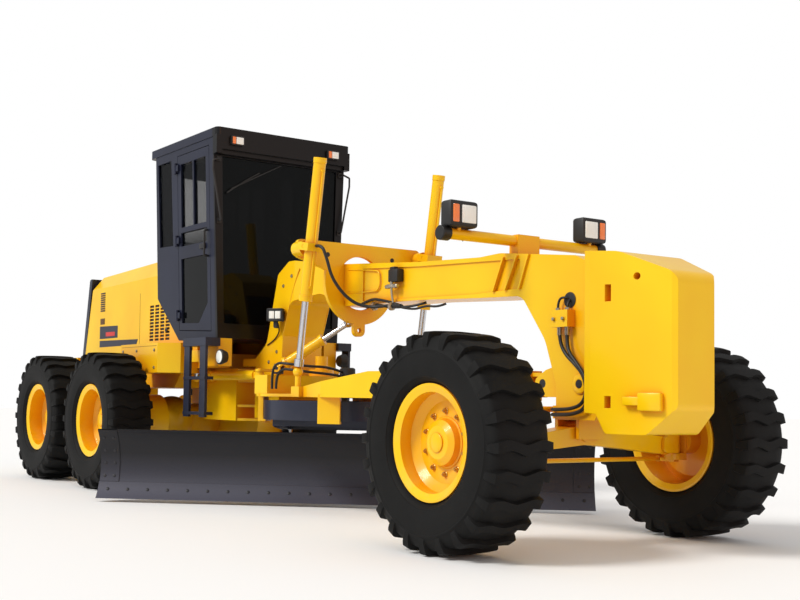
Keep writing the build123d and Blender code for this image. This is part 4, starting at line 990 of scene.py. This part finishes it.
# tower: work lamp with a frame, fins, two lenses, foot and wire
work = {
    "place": (0.02, -0.285, 1.665), "look": (0.62, -0.78, 0.0), "wireThick": 0.006,
    "shell": (((-0.03, -0.075, -0.058), (0.03, 0.075, 0.058), 0.01),
              ((0.028, -0.075, -0.058), (0.04, -0.055, 0.058), 0.004),
              ((0.028, -0.075, -0.058), (0.04, 0.075, -0.04), 0.004),
              ((0.028, 0.055, -0.058), (0.04, 0.075, 0.058), 0.004),
              ((0.028, -0.075, 0.04), (0.04, 0.075, 0.058), 0.004)),
    "fin": ((-0.046, -0.055, -0.0464), (-0.028, -0.049, 0.0464), 0.002), "fins": 6, "finPitch": 0.022,
    "lenses": (((0.029, -0.056, -0.034), (0.035, -0.004, 0.034), 0.004),
               ((0.029, 0.004, -0.034), (0.035, 0.056, 0.034), 0.004)),
    "foot": (((-0.012, -0.02, -0.108), (0.012, 0.02, -0.054), 0.004),
             ((-0.06, -0.016, -0.116), (0.012, 0.016, -0.106), 0.003)),
    "wire": ((0.015, -0.265, 1.605), (0.035, -0.255, 1.555), (-0.03, -0.222, 1.5), (-0.14, -0.216, 1.435),
             (-0.24, -0.216, 1.405))}
# tower cheeks: a bead along each and the hitch bolts
cheek = {
    "beadOut": 0.2105, "beadThick": 0.005, "boltOut": 0.21, "boltSize": 0.011,
    "bead": ((0.29, 2.065), (0.25, 2.01), (0.19, 1.9), (0.13, 1.76), (0.07, 1.6), (0.02, 1.48)),
    "bolts": ((0.02, 1.93), (0.16, 2.01), (-0.08, 1.34), (-0.22, 1.25))}


def makeTowerTrim():
    turn = aim(work["place"], work["look"])
    bm = bmesh.new()
    addBoxes(bm, work["shell"], turn=turn)
    for i in range(work["fins"]):
        addBoxes(bm, [work["fin"]], (0, i * work["finPitch"], 0), turn=turn)
    makePiece("towerLamp", bm, trimPlastic, "front_frame")
    boxPiece("towerLampLens", work["lenses"], clearLens, "front_frame", turn=turn)
    boxPiece("towerLampFoot", work["foot"], castIron, "front_frame", turn=turn)
    makeHose("towerLampWire", work["wire"], work["wireThick"], "front_frame")
    for side, word in sides:
        bead("towerBead_" + word, cheek["bead"], side * cheek["beadOut"], cheek["beadThick"])
        bm = bmesh.new()
        for x, z in cheek["bolts"]:
            bolt(bm, (x, side * cheek["boltOut"], z), (0, side, 0), cheek["boltSize"])
        makePiece("towerBolts_" + word, bm, bareSteel, "front_frame")


makeTowerTrim()
print("tower finished")

# saddle: dark discs in the holes of its wings, painted shade in them
saddle = {
    "holes": (-0.33, 0.33), "height": 2.12, "ahead": 0.04,
    "plug": ([(-0.001, 0.02), (0.002, 0.02), (0.003, 0.014)], 24)}


def makeSaddleTrim():
    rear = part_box("saddle")[0].x
    bm = bmesh.new()
    # a dark disc inside each hole: painted shade
    for y in saddle["holes"]:
        closedSpun(bm, saddle["plug"], (rear + saddle["ahead"], y, saddle["height"]), (1, 0, 0))
    makePiece("saddleHoles", bm, trimPlastic, "front_frame")


makeSaddleTrim()

# lift cylinders: gland ring, cap, and a port pipe with two unions along each barrel
# the barrel's line runs between points that lie in from the ends of its box
lift = {
    "y": 0.603, "inX": 0.053, "inZ": 0.016, "pipeFrom": 0.1, "pipeOut": 0.058, "pipeShare": 0.82,
    "gland": ([(0.0, 0.0502), (0.004, 0.056), (0.046, 0.056), (0.05, 0.0502)], 32),
    "cap": ([(-0.04, 0.0502), (-0.036, 0.054), (-0.008, 0.054), (-0.004, 0.046)], 32),
    "pipeThick": 0.008, "unionOut": 0.045, "union": ([(0, 0.014), (0.022, 0.014)], 12)}


def makeCylinderTrim():
    for side, word in sides:
        body = "lift_barrel_" + word
        low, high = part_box(body)
        y = side * lift["y"]
        top = Vector((high.x - lift["inX"], y, high.z - lift["inZ"]))
        foot = Vector((low.x + lift["inX"], y, low.z + lift["inZ"]))
        along = (top - foot).normalized()
        bm = bmesh.new()
        closedSpun(bm, lift["gland"], foot, along)
        closedSpun(bm, lift["cap"], top, along)
        makePiece("liftRings_" + word, bm, yellowPaint, body)
        bm = bmesh.new()
        length = (top - foot).length * lift["pipeShare"]
        start = foot + along * lift["pipeFrom"]
        pipe = ([(0, lift["pipeThick"]), (length, lift["pipeThick"])], 12)
        closedSpun(bm, pipe, start + Vector((lift["pipeOut"], 0, 0)), along)
        for reach in (0.0, length):
            place = start + along * reach + Vector((lift["unionOut"], 0, 0))
            closedSpun(bm, lift["union"], place, (1, 0, 0))
        makePiece("liftPipe_" + word, bm, yellowPaint, body)


makeCylinderTrim()
print("cylinders finished")

# drawbar: oil swivel at the circle's middle, and the hoses from it to the side
drawbar = {
    "swivelAt": (0.76, 0.0, 0.905), "hoseThick": 0.011,
    "swivel": (
        [(0.025, 0.105), (0.055, 0.11), (0.105, 0.1), (0.11, 0.07), (0.275, 0.066), (0.285, 0.052)], 36),
    "hoseA": (
        (0.775, -0.06, 1.15), (0.82, -0.22, 1.19), (0.81, -0.42, 1.19), (0.72, -0.57, 1.21),
        (0.58, -0.6, 1.22), (0.49, -0.59, 1.14), (0.49, -0.585, 1.0)),
    "hoseB": (
        (0.78, -0.04, 1.11), (0.84, -0.22, 1.13), (0.83, -0.4, 1.14), (0.74, -0.54, 1.16),
        (0.62, -0.57, 1.17), (0.53, -0.57, 1.1), (0.53, -0.57, 1.0))}

spunPiece("swivel", [drawbar["swivel"]], drawbar["swivelAt"], (0, 0, 1), trimPlastic, "drawbar")
for letter in "AB":
    makeHose("swivelHose" + letter, drawbar["hose" + letter], drawbar["hoseThick"], "drawbar")
print("drawbar finished")


# camera, floor and light

view = {
    "place": (9.018, -5.561, 0.936), "yaw": 33.308, "pitch": 2.835, "roll": 0.885,
    "lens": 52.452, "sensor": 36, "shiftX": 0.0814, "shiftY": 0.0496, "far": 200}


def makeCamera():
    yaw, pitch, roll = (math.radians(view[key]) for key in ("yaw", "pitch", "roll"))
    ahead = Vector((-math.cos(yaw) * math.cos(pitch), math.sin(yaw) * math.cos(pitch), math.sin(pitch)))
    right = ahead.cross(Vector((0, 0, 1))).normalized()
    up = right.cross(ahead)
    tilted = right * math.cos(roll) + up * math.sin(roll)
    upright = up * math.cos(roll) - right * math.sin(roll)
    data = bpy.data.cameras.new("viewCamera")
    data.lens = view["lens"]
    data.sensor_width = view["sensor"]
    data.shift_x = view["shiftX"]
    data.shift_y = view["shiftY"]
    data.clip_end = view["far"]
    camera = bpy.data.objects.new("viewCamera", data)
    sceneObjects.link(camera)
    turn = Matrix((tilted, upright, -ahead)).transposed().to_4x4()
    camera.matrix_world = Matrix.Translation(Vector(view["place"])) @ turn
    bpy.context.scene.camera = camera


makeCamera()

# suns are (strength, where the light comes from, angle, tint)
light = {
    "world": 0.62, "keySun": (2.3, (-0.15, -0.85, 0.75), 0.3, (1.0, 0.98, 0.94)),
    "warmFill": (0.5, (1.0, 0.1, 0.1), 0.6, (1.0, 0.38, 0.1))}


def addSun(name, strength, comesFrom, angle, tint):
    data = bpy.data.lights.new(name, "SUN")
    data.energy = strength
    data.angle = angle
    data.color = tint
    sun = bpy.data.objects.new(name, data)
    sun.rotation_euler = Vector(comesFrom).to_track_quat("Z", "Y").to_euler()
    sceneObjects.link(sun)


for name in ("keySun", "warmFill"):
    addSun(name, *light[name])


def makeWorld():
    # soft white light, with a plain white backdrop where the sky itself is seen
    world = bpy.data.worlds.new("studio")
    bpy.context.scene.world = world
    world.use_nodes = True
    tree = world.node_tree
    link = tree.links.new
    path = tree.nodes.new("ShaderNodeLightPath")
    seen = tree.nodes.new("ShaderNodeMath")
    seen.operation = "MAXIMUM"
    link(path.outputs["Is Camera Ray"], seen.inputs[0])
    link(path.outputs["Is Transmission Ray"], seen.inputs[1])
    soft = tree.nodes["Background"]
    backdrop = tree.nodes.new("ShaderNodeBackground")
    for shader, strength in ((soft, light["world"]), (backdrop, 1.0)):
        shader.inputs["Color"].default_value = (1, 1, 1, 1)
        shader.inputs["Strength"].default_value = strength
    blend = tree.nodes.new("ShaderNodeMixShader")
    link(seen.outputs[0], blend.inputs[0])
    link(soft.outputs[0], blend.inputs[1])
    link(backdrop.outputs[0], blend.inputs[2])
    link(blend.outputs[0], tree.nodes["World Output"].inputs["Surface"])


makeWorld()

ground = {"half": 60, "height": -0.001, "tone": 0.93, "rough": 0.75}


def makeFloor():
    f = Finish("paleFloor")
    f.put(Base_Color=(ground["tone"],) * 3, Roughness=ground["rough"])
    bm = bmesh.new()
    bmesh.ops.create_grid(bm, x_segments=1, y_segments=1, size=ground["half"])
    mesh = bpy.data.meshes.new("floor")
    bm.to_mesh(mesh)
    bm.free()
    mesh.materials.append(f.material)
    floor = bpy.data.objects.new("floor", mesh)
    floor.location = (0, 0, ground["height"])
    sceneObjects.link(floor)


makeFloor()
bpy.context.scene.view_settings.view_transform = "Standard"
print("camera, floor and light set")
